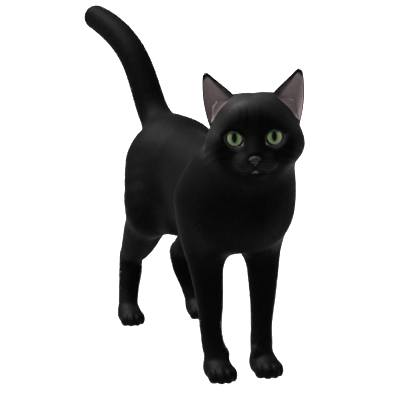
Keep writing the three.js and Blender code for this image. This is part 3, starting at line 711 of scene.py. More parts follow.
def bodySkin():
    # net of the field, its long edges halved and its points evened out, then sunk by the coat's depth
    points, faces = cleanNet(catField, [-92, -262, -14], [92, 398, 420], skin["cell"])
    for _ in range(skin["rounds"]):
        points, faces = splitLong(points, faces, skinSpacing)
        for _ in range(2):
            faces = flipEdges(points, faces)
            points = settle(catField, relax(points, faces), 0, 1)
    points = settle(catField, points, -depthAt(points), 2)
    return points, faces


def faceForms(points, normals):
    # grooves of the mouth and philtrum, and the opening between the lids, pressed into the skin
    q = toHead(points)
    front = smooth(q[:, 1], 4, -6)
    lipLine = strand(mouth, 23)
    lipLine = np.vstack([lipLine[::-1] * [-1, 1], lipLine[1:]])
    flat = q[:, [0, 2]]
    groove = np.exp(-(lineDistance(flat, lipLine) / skin["mouthWide"]) ** 2) * skin["mouthDeep"]
    philtrum = np.exp(-(lineDistance(flat, np.array(skin["philtrum"])) / skin["philtrumWide"]) ** 2)
    points = points - normals * ((groove + philtrum * skin["philtrumDeep"]) * front)[:, None]
    for side in (1, -1):
        q = toHead(points)
        out = fromEye(q, side)
        gap = openingGap(q)
        close = (gap < skin["lidSlope"]) & (out[:, 0] > -15) & (out[:, 0] < 17) & (out[:, 1] < 2)
        out, gap = out[close], gap[close]
        lid = out[:, 1] + (onLid(out) - out[:, 1]) * smooth(gap, skin["lidSlope"], 0.3)
        pit = -np.sqrt(np.maximum(skin["lidIn"] ** 2 - out[:, 0] ** 2 - out[:, 2] ** 2, 1))
        out[:, 1] = lid + np.maximum(pit - lid, 0) * smooth(gap, 0.2, -0.5)
        points[close] = fromHead((out + eye["centre"]) * [side, 1, 1])
    return points


points, faces = bodySkin()
points = faceForms(points, normalsOf(points, faces))
points[:, 2] = np.maximum(points[:, 2], 0.25)
print("stage: skin", len(points), "points", len(faces), "triangles")
bodyPoints, bodyFaces = points, faces
bodyNormals = normalsOf(points, faces)
skinPiece = meshFrom("skin", points, faces)
for mark in ("earUp", "earAcross", "earInside"):
    addNumber(skinPiece, mark, np.full(len(points), -1.0))
earTools = []
for side, name in sides:
    points, faces, marks = earSolid(side)
    tool = meshFrom("earTool_" + name, points, faces)
    for mark, values in marks.items():
        addNumber(tool, mark, values)
    join = skinPiece.modifiers.new("join_" + name, "BOOLEAN")
    join.operation, join.solver, join.object = "UNION", "MANIFOLD", tool
    earTools.append(tool)
bpy.context.view_layer.update()
joined = bpy.data.meshes.new_from_object(skinPiece.evaluated_get(bpy.context.evaluated_depsgraph_get()))
skinPiece.modifiers.clear()
skinPiece.data = joined
joined.name = "skin"
for tool in earTools:
    bpy.data.objects.remove(tool)
print("stage: ears joined", len(joined.vertices), "points", len(joined.polygons), "faces")



# shader nodes as expressions
class Signal:
    # one output socket: + - * / and their reflected forms add Math nodes, make() adds any other node
    def __init__(self, tree, socket=None):
        self.tree, self.socket = tree, socket

    def make(self, kind, settings=None, values=None, out=0):
        node = self.tree.nodes.new(kind)
        for key, value in (settings or {}).items():
            setattr(node, key, value)
        for key, value in (values or {}).items():
            if isinstance(value, Signal):
                self.tree.links.new(value.socket, node.inputs[key])
            else:
                node.inputs[key].default_value = value
        return Signal(self.tree, node.outputs[out] if node.outputs else None)

    def maths(self, operation, *others):
        parts = dict(enumerate((self, *others)))
        return self.make("ShaderNodeMath", {"operation": operation}, parts)

    def __add__(self, other):
        return self.maths("ADD", other)

    def __mul__(self, other):
        return self.maths("MULTIPLY", other)

    def __sub__(self, other):
        return self.maths("SUBTRACT", other)

    def __rsub__(self, other):
        return self.make("ShaderNodeMath", {"operation": "SUBTRACT"}, {0: other, 1: self})

    def __truediv__(self, other):
        return self.maths("DIVIDE", other)

    __radd__, __rmul__ = __add__, __mul__

    def power(self, other):
        return self.maths("POWER", other)

    def step(self, low, high):
        # 0 below low, 1 above high, smooth between
        settings = {"interpolation_type": "SMOOTHSTEP"}
        return self.make("ShaderNodeMapRange", settings, {"Value": self, "From Min": low, "From Max": high})

    def mix(self, one, two):
        # colours: one where this is 0, two where it is 1
        return self.make("ShaderNodeMix", {"data_type": "RGBA"}, {0: self, 6: one, 7: two}, 2)


def newMaterial(name):
    # a material without nodes, and a Signal that adds them
    material = bpy.data.materials.new(name)
    material.use_nodes = True
    tree = material.node_tree
    for node in list(tree.nodes):
        tree.nodes.remove(node)
    return material, Signal(tree)


def surface(graph, **values):
    # the Principled shader of a material, its sockets given by name
    named = {key.replace("_", " "): value for key, value in values.items()}
    shader = graph.make("ShaderNodeBsdfPrincipled", None, named)
    graph.make("ShaderNodeOutputMaterial", None, {"Surface": shader})


def attribute(graph, name):
    return graph.make("ShaderNodeAttribute", {"attribute_name": name}, None, "Fac")


def bumped(graph, height, strength, distance):
    values = {"Height": height, "Strength": strength, "Distance": distance}
    return graph.make("ShaderNodeBump", None, values, "Normal")


def noise(graph, where, scale, detail=3.0, roughness=0.5):
    values = {"Vector": where, "Scale": scale, "Detail": detail, "Roughness": roughness}
    return graph.make("ShaderNodeTexNoise", None, values, "Fac")


# finishes
finish = {"black": (0.0005, 0.0005, 0.00052, 1), "warm": (0.0075, 0.0068, 0.0067, 1),
          "bare": (0.024, 0.021, 0.021, 1), "rose": (0.20, 0.168, 0.166, 1),
          "pink": (0.235, 0.158, 0.163, 1), "gloss": 0.0148, "hair": (0.075, 0.068, 0.067, 1)}


def coatFinish():
    # near black, a little warmer with tone; sleek hair is glossier and has a second, broader shine
    material, graph = newMaterial("black coat hair")
    tone = attribute(graph, "tone")
    ghost = attribute(graph, "ghost")
    colour = (tone - ghost * 0.5).maths("MAXIMUM", 0.0).mix(finish["black"], finish["warm"])
    sleek = attribute(graph, "sleek")
    surface(graph, Base_Color=colour, Roughness=0.55 - sleek * 0.09 + tone * 0.10 + ghost * 0.10,
            Specular_IOR_Level=finish["gloss"], IOR=1.5, Coat_Weight=sleek.maths("MAXIMUM", 0.0) * 0.12,
            Coat_Roughness=0.66, Coat_IOR=1.5)
    return material


def skinFinish():
    # black under the coat, grey where bare, rose with fine folds in the ears
    material, graph = newMaterial("skin under the coat")
    bare, rose, ghost, ripple = (attribute(graph, n) for n in ("bare", "rose", "ghost", "ripple"))
    where = graph.make("ShaderNodeTexCoord", None, None, "Object")
    mottle = noise(graph, where, 260, 4)
    fine = noise(graph, where, 1500, 2)
    folds = (ripple * 3.0 + mottle * 3.0).maths("SINE") * 0.5 + 0.5
    dark = bare.mix(finish["black"], finish["bare"])
    flesh = ghost.mix(finish["rose"], finish["pink"])
    colour = (rose * (0.47 + mottle * 0.3 + folds * 0.32)).mix(dark, flesh)
    relief = bumped(graph, fine + mottle + folds * 0.6, 0.35, 0.0004)
    surface(graph, Base_Color=colour, Roughness=0.62 - bare * 0.05 + mottle * 0.06,
            Specular_IOR_Level=0.03, IOR=1.45, Normal=relief)
    return material


# eyes: a ball about the line of sight, its clear front raised
eyeLook = {"gaze": [-0.01, -1, 0.05], "iris": 7.95, "slit": [2.55, 4.9], "slitUp": 0.6,
           "rings": 60, "turns": 96, "flat": 0.85,
           "green": (0.108, 0.156, 0.074, 1), "inner": (0.030, 0.055, 0.027, 1),
           "rim": (0.160, 0.186, 0.100, 1), "fleck": (0.19, 0.225, 0.135, 1),
           # the second colour on the next line is a painted shadow of the upper lid over the iris's top
           "ring": (0.006, 0.005, 0.004, 1), "lidShadow": (0.010, 0.014, 0.007, 1),
           "pupil": (0.0010, 0.0010, 0.0012, 1)}


def eyeball(side, name):
    # revolve r(angle) = radius + cornea * cos(2 angle)^2 about the line of sight
    angle = np.linspace(0, math.pi, eyeLook["rings"] + 1)
    turn = np.linspace(0, 2 * math.pi, eyeLook["turns"], endpoint=False)
    r = eye["radius"] + eye["cornea"] * np.cos(np.minimum(angle * 2, math.pi / 2)) ** 2
    across = (r * np.sin(angle))[1:-1, None]
    ring = np.stack([across * np.cos(turn), np.repeat((r * np.cos(angle))[1:-1, None], len(turn), 1),
                     across * np.sin(turn)], -1).reshape(-1, 3)
    local = np.vstack([[0, r[0], 0], ring, [0, -r[-1], 0]])
    count, rows = len(turn), eyeLook["rings"] - 1
    a, b, c, d = (1 + v for v in bands(rows - 1, count))
    i = np.arange(count)
    last = len(local) - 1
    rear = 1 + (rows - 1) * count
    faces = np.vstack([np.stack([a, b, c], -1), np.stack([a, c, d], -1),
                       np.stack([0 * i, 1 + (i + 1) % count, 1 + i], -1),
                       np.stack([0 * i + last, rear + i, rear + (i + 1) % count], -1)])
    sight = unit(np.array(eyeLook["gaze"], float))
    right = unit(np.cross(sight, [0, 0, 1]))
    basis = np.stack([right, sight, np.cross(right, sight)])
    q = local @ basis + np.array(eye["centre"]) * [side, 1, 1]
    piece = meshFrom(name, fromHead(q), faces)
    # the iris is lit as a flat disc: its shading normals lean to the line of sight
    flat = smooth(np.hypot(local[:, 0], local[:, 2]), 10.5, 7.5) * (local[:, 1] > 0) * eyeLook["flat"]
    flat = flat[:, None]
    normal = unit(unit(local) * (1 - flat) + flat * [0, 1, 0])
    piece.data.normals_split_custom_set_from_vertices(normal @ basis @ headAxes)
    addNumber(piece, "acrossIris", local[:, 0])
    addNumber(piece, "upIris", local[:, 2])
    return piece


def eyeFinish():
    # rings of colour about the sight: dark slit, inner green, green with fibres, paler rim, dark ring, and a
    # painted shadow of the upper lid over the top
    material, graph = newMaterial("green eye")
    x, z = attribute(graph, "acrossIris"), attribute(graph, "upIris")
    r = (x * x + z * z).power(0.5)
    aside, above = x / eyeLook["slit"][0], (z - eyeLook["slitUp"]) / eyeLook["slit"][1]
    inSlit = (aside.power(2.0) + above.power(2.0)).power(0.5)
    turn = z.maths("ARCTAN2", x)
    where = graph.make("ShaderNodeCombineXYZ", None, {0: turn * 5.0, 1: r * 0.22, 2: 0.0})
    fibre = noise(graph, where, 3.2, 5, 0.65)
    inward = inSlit.step(2.1, 1.0)
    colour = (inward * (0.7 + fibre * 0.5)).mix(eyeLook["green"], eyeLook["inner"])
    colour = (r.step(eyeLook["iris"] * 0.62, eyeLook["iris"] * 0.95) * 0.7).mix(colour, eyeLook["rim"])
    colour = (fibre.step(0.52, 0.75) * 0.35).mix(colour, eyeLook["fleck"])
    colour = r.step(eyeLook["iris"] * 0.93, eyeLook["iris"] * 1.0).mix(colour, eyeLook["ring"])
    # painted shadow of the upper lid: the iris darkened towards its top
    colour = (z.step(2.6, 6.4) * 0.92).mix(colour, eyeLook["lidShadow"])
    colour = inSlit.step(1.10, 0.95).mix(colour, eyeLook["pupil"])
    surface(graph, Base_Color=colour, Roughness=0.3, Specular_IOR_Level=0.015, IOR=1.376,
            Coat_Weight=0.06, Coat_Roughness=0.06, Coat_IOR=1.3)
    return material


# wet rim of the lids, with the tear corner
rimLook = {"radius": 0.72, "behind": 0.35, "steps": 160, "turns": 12,
           "dark": (0.0035, 0.003, 0.003, 1), "corner": (0.075, 0.052, 0.054, 1)}


def lidRim(side, name):
    # a thin tube along the opening's outline, a little behind the lids' skin, thicker in the inner corner
    outline = lidOutline(rimLook["steps"] // 2)
    x, z = outline.T
    y = faceFront(x + eye["centre"][0], z + eye["centre"][2]) - eye["centre"][1]
    line = np.stack([x, y, z], -1)
    line[:, 1] = onLid(line) + rimLook["behind"]
    ahead = unit(np.roll(line, -1, 0) - np.roll(line, 1, 0))
    outward = unit(line)
    across = unit(np.cross(ahead, outward))
    outward = np.cross(across, ahead)
    corner = np.exp(-(np.linalg.norm(outline - lids["inner"], axis=1) / 1.9) ** 2)
    radius = rimLook["radius"] * (1 + 0.9 * corner)
    turn = np.linspace(0, 2 * math.pi, rimLook["turns"], endpoint=False)
    ring = (across[:, None] * np.cos(turn)[None, :, None] + outward[:, None] * np.sin(turn)[None, :, None])
    points = (line[:, None] + ring * radius[:, None, None]).reshape(-1, 3)
    n, m = len(line), len(turn)
    a, b, c, d = (v % (n * m) for v in bands(n, m))
    faces = np.vstack([np.stack([a, b, c], -1), np.stack([a, c, d], -1)])
    points, middle = (fromHead((v + eye["centre"]) * [side, 1, 1]) for v in (points, np.repeat(line, m, 0)))
    if np.einsum("ij,ij->i", normalsOf(points, faces), points - middle).mean() < 0:
        faces = faces[:, ::-1]
    piece = meshFrom(name, points, faces)
    addNumber(piece, "rose", np.repeat(np.clip(corner * 1.3, 0, 1), m))
    return piece


def rimFinish():
    material, graph = newMaterial("lid rim")
    rose = attribute(graph, "rose")
    where = graph.make("ShaderNodeTexCoord", None, None, "Object")
    grain = noise(graph, where, 900, 3)
    colour = rose.mix(rimLook["dark"], rimLook["corner"])
    surface(graph, Base_Color=colour, Roughness=0.34 + grain * 0.12, Specular_IOR_Level=0.12, IOR=1.4,
            Normal=bumped(graph, grain, 0.2, 0.0002))
    return material


# nose leather
noseLook = {"cell": 0.55, "nostril": [4.5, -5.0, -1.2], "hollow": [2.1, 3.0, 1.25], "lean": 26,
            "dark": (0.0050, 0.0045, 0.0046, 1), "light": (0.0100, 0.0088, 0.0090, 1)}


def noseField(q):
    # rounded union of bridge, lower point and wings, less nostrils, their slits and the cleft
    v = q - [0, nose["y"], nose["z"]]
    a = fold(v)
    bridge = ball(v, [0, 0, 1.2], [6, 5.4, 3.6])
    point = limb(v, [0, -0.6, 1, 3.8], [0, -0.6, -4.2, 1.8])
    d = union(union(bridge, point, 3), ball(a, [4, -0.4, 0], [3.1, 4.6, 3.3]), 1.5)
    # nostrils: a leaning ellipsoid and the slit that runs outwards from it are cut away
    turn = math.radians(noseLook["lean"])
    x, y, z = (a - noseLook["nostril"]).T
    c, s = math.cos(turn), math.sin(turn)
    leant = np.stack([x * c - z * s, y, x * s + z * c], -1)
    slit = limb(a, [5.4, -4.0, -1.3, 0.75], [7.3, -1.6, -0.4, 0.5])
    hole = union(ball(leant, [0, 0, 0], noseLook["hollow"]), slit, 0.8)
    d = -union(-d, hole, 0.7)
    return -union(-d, limb(v, [0, -5.6, -1.2, 0.35], [0, -3.0, -6.6, 0.45]), 0.8)


def noseLeather():
    # the net of its field, 0.05 mm inside it
    low, high = [-11, nose["y"] - 9, nose["z"] - 10], [11, nose["y"] + 8, nose["z"] + 9]
    points, faces = cleanNet(noseField, low, high, noseLook["cell"])
    points = settle(noseField, points, -0.05, 2)
    return meshFrom("nose_leather", fromHead(points), faces)


def noseFinish():
    material, graph = newMaterial("nose leather")
    where = graph.make("ShaderNodeTexCoord", None, None, "Object")
    cells = {"Vector": where, "Scale": 1500.0}
    pebble = graph.make("ShaderNodeTexVoronoi", {"feature": "F1"}, cells, "Distance")
    mottle = noise(graph, where, 300, 3)
    colour = mottle.step(0.35, 0.7).mix(noseLook["dark"], noseLook["light"])
    surface(graph, Base_Color=colour, Roughness=0.55 + mottle * 0.15, Specular_IOR_Level=0.09, IOR=1.45,
            Normal=bumped(graph, pebble, 0.35, 0.0003))
    return material


# pieces on the skin
def dress(piece, material, slotName, *nodes):
    # gives a piece its finish, fixed to the body, in place of the solids named; slotName is not used
    piece.data.materials.clear()
    piece.data.materials.append(material)
    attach(piece, "root")
    if nodes:
        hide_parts(*nodes)
    return piece


def readVectors(piece, key):
    flat = np.empty(len(piece.data.vertices) * 3, np.float32)
    piece.data.vertices.foreach_get(key, flat)
    return flat.reshape(-1, 3).astype(float)


def readNumber(piece, name):
    flat = np.empty(len(piece.data.vertices), np.float32)
    piece.data.attributes[name].data.foreach_get("value", flat)
    return flat.astype(float)


def inHollow(q):
    # 1 on the skin of the hollow before the ear, 0 on the coat round it
    before = smooth(conch(fold(q)), 1.2, 0.6) * smooth(head(q), -1.2, -2.4)
    behind = smooth(conch(fold(q)), 3.5, 2.5) * smooth(q[:, 1], 27, 29)
    return np.maximum(before, behind) * (behindEar(fold(q)) < -0.8)


def earFurAndShade(q):
    # 0 along the ear's front edge, 1 from a third of its width on; the width shrinks towards the tip
    # the inside of the ear darkened towards its front edge: partly its dark skin and fur there, partly
    # painted shade
    inner, tip = (np.array(ear[k], float)[[0, 2]] for k in ("inner", "tip"))
    edge, away = tip - inner, fold(q)[:, [0, 2]] - inner
    wide = 30 * np.maximum(1 - away @ edge / (edge @ edge), 0.15)
    return smooth((away[:, 0] * edge[1] - away[:, 1] * edge[0]) / np.linalg.norm(edge) / wide, 0.07, 0.32)


def underLip(q):
    # how far a head-frame point lies under the mouth's line
    return np.interp(np.abs(q[:, 0]), [v[0] for v in mouth], [v[1] for v in mouth]) - q[:, 2]


def markSkin():
    # bare: grey skin at the lids' edges and in the ears; rose: pink skin of the lower lip and the ears,
    # ghost: the pinker part of it; ripple: distance from under the ear, for its fine folds
    q = toHead(readVectors(skinPiece, "co") * 1000 - shift)
    up, across, inside = (readNumber(skinPiece, n) for n in ("earUp", "earAcross", "earInside"))
    seam = (up == 0) & (across == 0) & (inside == 0)
    innerSeam = seam & (behindEar(fold(q)) < -1.2)
    outer = (inside > -0.5) & (inside < 0.5) & ~seam
    hollow = smooth(inside, 0.55, 0.95) * smooth(np.abs(across), 0.97, 0.86) * smooth(up, 0.93, 0.82)
    bowl = np.where(outer, 0, np.maximum(inHollow(q), innerSeam))
    # the ear's skin fades to dark towards its front edge, partly painted shade, and is dimmed by a tenth on
    # the seam with the hollow, a painted shade that damps the lit edge there
    inner = np.maximum(hollow, bowl) * earFurAndShade(q) * np.where(seam, 0.9, 1)
    pinker = inner * smooth(across, 0.1, 0.9) * hollow
    lid = np.exp(-((openingGap(q) - 1.0) / 0.65) ** 2) * smooth(q[:, 2], 5, 0) * (q[:, 1] < 0)
    lip = smooth(underLip(q), -0.2, 0.4) * smooth(q[:, 2], -36.4, -35.6)
    lip *= smooth(np.abs(q[:, 0]), 7.5, 6.3) * (q[:, 1] < -12)
    addNumber(skinPiece, "bare", np.clip(lid * 0.6 + np.maximum(hollow * 0.15, inner), 0, 1))
    addNumber(skinPiece, "rose", np.clip(inner * 0.62 + pinker * 0.25 + lip * 0.34, 0, 1))
    addNumber(skinPiece, "ghost", np.maximum(pinker, np.maximum(lip * 0.5, inner * 0.25)))
    addNumber(skinPiece, "ripple", np.linalg.norm(fold(q) - [36, 30, 2], axis=1))
    # where the hollow meets the ear's inner wall, both are lit as the wall
    ahead = (unit(np.array(ear["back"])) * np.where(q[:, :1] > 0, [-1, -1, -1], [1, -1, -1])) @ headAxes
    normal = np.where(innerSeam[:, None], ahead, readVectors(skinPiece, "normal"))
    skinPiece.data.normals_split_custom_set_from_vertices(normal)


fleshNodes = [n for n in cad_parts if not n.startswith(("eye", "nose"))]
coat, eyeGreen, rimDark = coatFinish(), eyeFinish(), rimFinish()
markSkin()
dress(skinPiece, skinFinish(), "coat", *fleshNodes)
for side, name in sides:
    dress(eyeball(side, "eyeball_" + name), eyeGreen, "eye", "eye_" + name)
    dress(lidRim(side, "lid_rim_" + name), rimDark, "coat")
dress(noseLeather(), noseFinish(), "nose", "nose")
print("stage: eyes and nose")

# coat: flat tapered tufts that lie along the body
tufts = {"trunk": {"length": 8.6, "width": 0.80, "density": 1.1},
         "neck": {"length": 8.2, "width": 0.76, "density": 1.2},
         "foreLeg": {"length": 5.4, "width": 0.56, "density": 1.5},
         "hindLeg": {"length": 6.2, "width": 0.62, "density": 1.25},
         "tail": {"length": 8.0, "width": 0.72, "density": 1.15},
         "head": {"length": 5.2, "width": 0.50, "density": 1.9},
         "face": {"length": 2.1, "width": 0.30, "density": 5.4},
         "paw": {"length": 3.0, "width": 0.42, "density": 2.8}}
coatForm = {"seed": 11, "lengths": [0.75, 1.2], "widths": [0.75, 1.25], "heights": [0.82, 1.18],
            "onField": ((0.45, 0.86), (1, 1)),  # shares of the length and of the rise, at middle and tip
            "onLids": ((0.5, 0.3), (1, 0.4)),  # the same beside the eyes, the rise in millimetres
            "besideLids": [7, 3.5], "lidShorter": 0.4, "full": 1.32, "fineFull": 1.10,
            "roll": 0.06, "turn": 4, "sunk": 0.3, "lowest": 0.3, "tone": [0.1, 0.06, 0.07],
            "lean": 0.06, "streakLean": 0.22, "unevenLight": 0.035, "broadNormal": 7.0,
            "patch": 0.003, "face": ([0, -8, -13], [36, 26, 32])}
draw = np.random.default_rng(coatForm["seed"])


def tuftSizes(name):
    # a part's own length, width and density
    return np.array([tufts[name][k] for k in ("length", "width", "density")])


def blendTufts(p, share):
    # length, width and density of the tufts at each point, the parts' own values mixed by their shares
    value = share @ np.array([tuftSizes(n) for n in partNames])
    q = toHead(p)
    face = smooth(ball(q, *coatForm["face"]), 9, -3)[:, None]
    foot = smooth(p[:, 2], 40, 18)[:, None]
    for weight, name in ((face, "face"), (foot, "paw")):
        value = value + (tuftSizes(name) - value) * weight
    return value.T


def wave(p, scale, seed):
    # smooth noise from -1 to 1: a mean of sines along nine random directions
    way = np.random.default_rng(seed)
    total = np.zeros(len(p))
    for _ in range(9):
        direction, phase = way.normal(size=3), way.uniform(0, 2 * math.pi)
        total += np.sin(p @ direction / scale + phase)
    return total / 4.5


def lieAt(p, normal):
    # the way the coat lies: back along trunk and neck, down the legs, along the tail, away from the nose
    count = len(p)
    q = toHead(p)
    away = q - [0, -29, -20]
    far = np.linalg.norm(away, axis=1, keepdims=True)
    low = smooth(q[:, 2], 10, -12)[:, None]
    radial = unit(fold(q) * [1, 0, 1] - [eye["centre"][0], 0, eye["centre"][2]]) * [1, 0, 1]
    radial[:, 0] *= np.where(q[:, 0] < 0, -1, 1)
    beside = smooth(openingGap(q), 8, 2)[:, None]
    head = (away / np.maximum(far, 1e-6) + low * [0, 0.45, -0.35] + beside * radial * 1.3) @ headAxes
    along = np.diff(tailPath[:, :3], axis=0)
    nearest = np.argmin([np.linalg.norm(p - m, axis=1) for m in tailPath[:-1, :3] + along / 2], 0)
    belly = smooth(normal[:, 2], -0.3, -0.9)[:, None]
    trunk = np.array([0, 1, -0.38]) + belly * [0, 0, 0.38]
    neck = unit(np.array(neckRoot[:3]) - np.array(neckTop[:3])) + [0, 0, -0.15] + np.zeros((count, 3))
    leg = np.array([0, 0.16, -1.0]) + np.zeros((count, 3))
    ways = np.stack([trunk, neck, leg, leg, unit(along)[nearest], head], 1)
    way = np.einsum("ij,ijk->ik", shares(p, 16), ways)
    foot = smooth(p[:, 2], 34, 16)[:, None]
    way = way + (np.array([0, -1.0, -0.45]) - way) * foot
    way = unit(way - normal * np.einsum("ij,ij->i", way, normal)[:, None])
    turn = np.radians(4 * wave(p, 16.0, 3) + 2 * wave(p, 5.0, 4)
                      + draw.normal(0, coatForm["turn"], count))[:, None]
    return way * np.cos(turn) + np.cross(normal, way) * np.sin(turn)


def scatter(points, faces, normals, density):
    # roots spread evenly over the area times the density, each inside its triangle
    a, b, c = points[faces].transpose(1, 0, 2)
    weight = np.linalg.norm(np.cross(b - a, c - a), axis=1) / 2 * density
    steps = np.cumsum(weight)
    count = int(steps[-1])
    face = np.searchsorted(steps, (np.arange(count) + draw.random(count)) * steps[-1] / count)
    face = np.minimum(face, len(faces) - 1)
    u, v = draw.random((2, count))
    over = u + v > 1
    u, v = np.where(over, 1 - u, u), np.where(over, 1 - v, v)
    w = np.stack([1 - u - v, u, v], -1)[..., None]
    return (points[faces[face]] * w).sum(1), unit((normals[faces[face]] * w).sum(1))


def toLevel(p, normal, level):
    # moved along the normal by what the field is off the level, twice
    for _ in range(2):
        p = p - (catField(p) - level)[:, None] * normal
    return p


def blades(root, middle, tip, side, width):
    # five points for each tuft: two at its root, two at its widest, one at its tip
    w = (side * width[:, None]) / 2
    return np.stack([root - w * 0.6, root + w * 0.6, middle + w, middle - w, tip], 1)


def tuftPiece(name, corners, chart, tone, ghost, sleek, shading):
    # quad and triangle for each tuft, its map a small patch at its root's place
    count = len(corners)
    away = np.cross(corners[:, 1] - corners[:, 0], corners[:, 4] - corners[:, 0])
    turned = np.einsum("ij,ij->i", away, shading) < 0
    corners = np.where(turned[:, None, None], corners[:, [1, 0, 3, 2, 4]], corners)
    loops = (np.arange(count)[:, None] * 5 + [0, 1, 2, 3, 3, 2, 4]).ravel()
    starts = (np.arange(count)[:, None] * 7 + [0, 4]).ravel()
    piece = newPiece(name, corners.reshape(-1, 3), loops, starts)
    piece.data.normals_split_custom_set_from_vertices(np.repeat(shading, 5, 0))
    patch = np.array([[-1, -1], [1, -1], [1, 0.2], [-1, 0.2], [0, 1]]) * coatForm["patch"] / 2
    uv = chart[:, None] + patch
    layer = piece.data.uv_layers.new(name="OFBake")
    layer.data.foreach_set("uv", uv.reshape(-1, 2)[loops].astype(np.float32).ravel())
    for key, value in (("tone", tone), ("ghost", ghost), ("sleek", sleek)):
        addNumber(piece, key, np.repeat(value, 5))
    print("  ", name, count, "tufts")
    return piece


def charts(p, label):
    # an unwrap of the skin's own shape, each part on its own square: round and along trunk, neck, legs
    # and tail, and the head seen from its middle, front half and back half side by side
    uv = np.zeros((len(p), 2))
    q = toHead(p)
    middle = (spline(p[:, 1], spine["y"], spine["top"]) + spline(p[:, 1], spine["y"], spine["bottom"])) / 2
    for part in np.unique(label):
        k = label == part
        x, y, z = p[k].T
        if partNames[part] == "trunk":
            u, v = np.arctan2(x, z - middle[k]), (y + 180) / 340
        elif partNames[part] == "neck":
            axis = unit(np.array(neckTop[:3]) - np.array(neckRoot[:3]))
            other = np.cross(axis, [1, 0, 0])
            local = p[k] - neckRoot[:3]
            u, v = np.arctan2(local[:, 0], local @ other), (local @ axis + 60) / 200
        elif partNames[part] in ("foreLeg", "hindLeg"):
            path = forePath if partNames[part] == "foreLeg" else np.vstack([thighPath, shankPath, footPath])
            order = np.argsort(path[:, 2])
            cx, cy = (np.interp(z, path[order, 2], path[order, i]) for i in (0, 1))
            u, v = np.arctan2(np.abs(x) - cx, cy - y), z / 260
            u = np.where(x > 0, u / 2 - math.pi / 2, u / 2 + math.pi / 2)
        elif partNames[part] == "tail":
            best = np.argmin(np.linalg.norm(p[k][:, None] - tailPath[None, :, :3], axis=2), 1)
            local = p[k] - tailPath[best, :3]
            u, v = np.arctan2(local[:, 0], local[:, 1]), (best + draw.random(k.sum())) / tail["steps"]
        else:
            way = unit(q[k] - [0, 20, 0])
            angle = np.arccos(np.clip(np.abs(way[:, 1]), 0, 1)) / (math.pi / 2)
            flat = unit(way[:, [0, 2]]) * angle[:, None] * 0.24
            uv[k] = np.where(way[:, 1:2] < 0, [0.25, 0.5], [0.75, 0.5]) + flat
            continue
        uv[k] = np.stack([u / (2 * math.pi) + 0.5, v], -1)
    return uv


def pads(p):
    # the lighter whisker pads with rows of dark dots, up to 0.85
    q = fold(toHead(p))
    x, z = q[:, 0], q[:, 2]
    pad = smooth(np.hypot((x - 12) / 12.5, (z + 28.6) / 7.5), 1.1, 0.45) * (q[:, 1] < -4)
    rows = (z + 23.5 + 0.09 * x) / 2.9
    row = np.round(rows)
    dots = smooth(np.abs(rows - row), 0.3, 0.12) * smooth(np.cos(x * 2.5 + row * 1.3), -0.4, 0.4)
    return pad * (0.85 - 1.25 * dots * smooth(x, 5, 7))


def markings(p):
    # faint darker streaks: up the forehead, and curved back over the cheeks
    q = toHead(p)
    x, y, z = q.T
    brow = smooth(z, 8, 16) * smooth(z, 34, 22) * smooth(np.abs(x), 22, 10) * smooth(y, 30, 6)
    bars = 0.5 + 0.5 * np.cos(x * 0.9 + 0.8 * np.sin(z * 0.2))
    bars = bars * (0.5 + 0.5 * np.cos(x * 0.37 + z * 0.11 + 1))
    cheek = 0.7 * smooth(np.abs(x), 26, 33) * smooth(z, 4, -3) * smooth(z, -30, -22) * smooth(y, 30, 8)
    arcs = 0.5 + 0.5 * np.cos((z + 0.012 * (np.abs(x) - 20) ** 2) * 0.75)
    return np.clip(brow * bars + cheek * arcs, 0, 1)


def bareGround(p):
    # places without fur: the eyes' openings, nose leather, the mouth's line, lower lip and soles
    q = toHead(p)
    bare = p[:, 2] < 1.2
    close = (np.abs(q[:, 0]) < 36) & (q[:, 1] < 12) & (np.abs(q[:, 2]) < 42)
    near = q[close]
    lipLine = strand(mouth, 15)
    hit = (noseField(near) < 0.25) | (openingGap(near) < np.where(near[:, 2] < 3, 1.5, 0.8))
    flat = np.stack([np.abs(near[:, 0]), near[:, 2]], -1)
    hit |= (lineDistance(flat, lipLine) < 0.6) & (near[:, 1] < -4)
    hit |= (flat[:, 0] < 6.8) & (underLip(near) > 0) & (near[:, 2] > -36.2) & (near[:, 1] < -12)
    bare[close] |= hit
    near = np.all((fold(q) > [20, 5, 10]) & (fold(q) < [60, 50, 60]), axis=1)
    bare[near] |= inHollow(q[near]) > 0.3
    return bare


def shadingOf(normal, lie, lean):
    # the tufts are lit as the smooth coat they make up: normal, leant back a little and varied at random
    return unit(normal - lie * lean[:, None] + draw.normal(0, coatForm["unevenLight"], normal.shape))


# the pieces of the coat and the part of the body under each
coatPieces = {"trunk": "trunk", "neck": "neck", "tail": "tail",
              "front_leg": "foreLeg", "hind_leg": "hindLeg", "head": "head"}


def coatGroups(root, label):
    # which tufts go to each piece: one part of the body, left and right apart but for neck and tail
    groups = {}
    for name, part in coatPieces.items():
        here = label == partNames.index(part)
        left = (toHead(root) if part == "head" else root)[:, 0] > 0
        if part in ("neck", "tail"):
            groups["coat_" + name] = here
        else:
            groups["coat_" + name + "_left"], groups["coat_" + name + "_right"] = here & left, here & ~left
    return groups


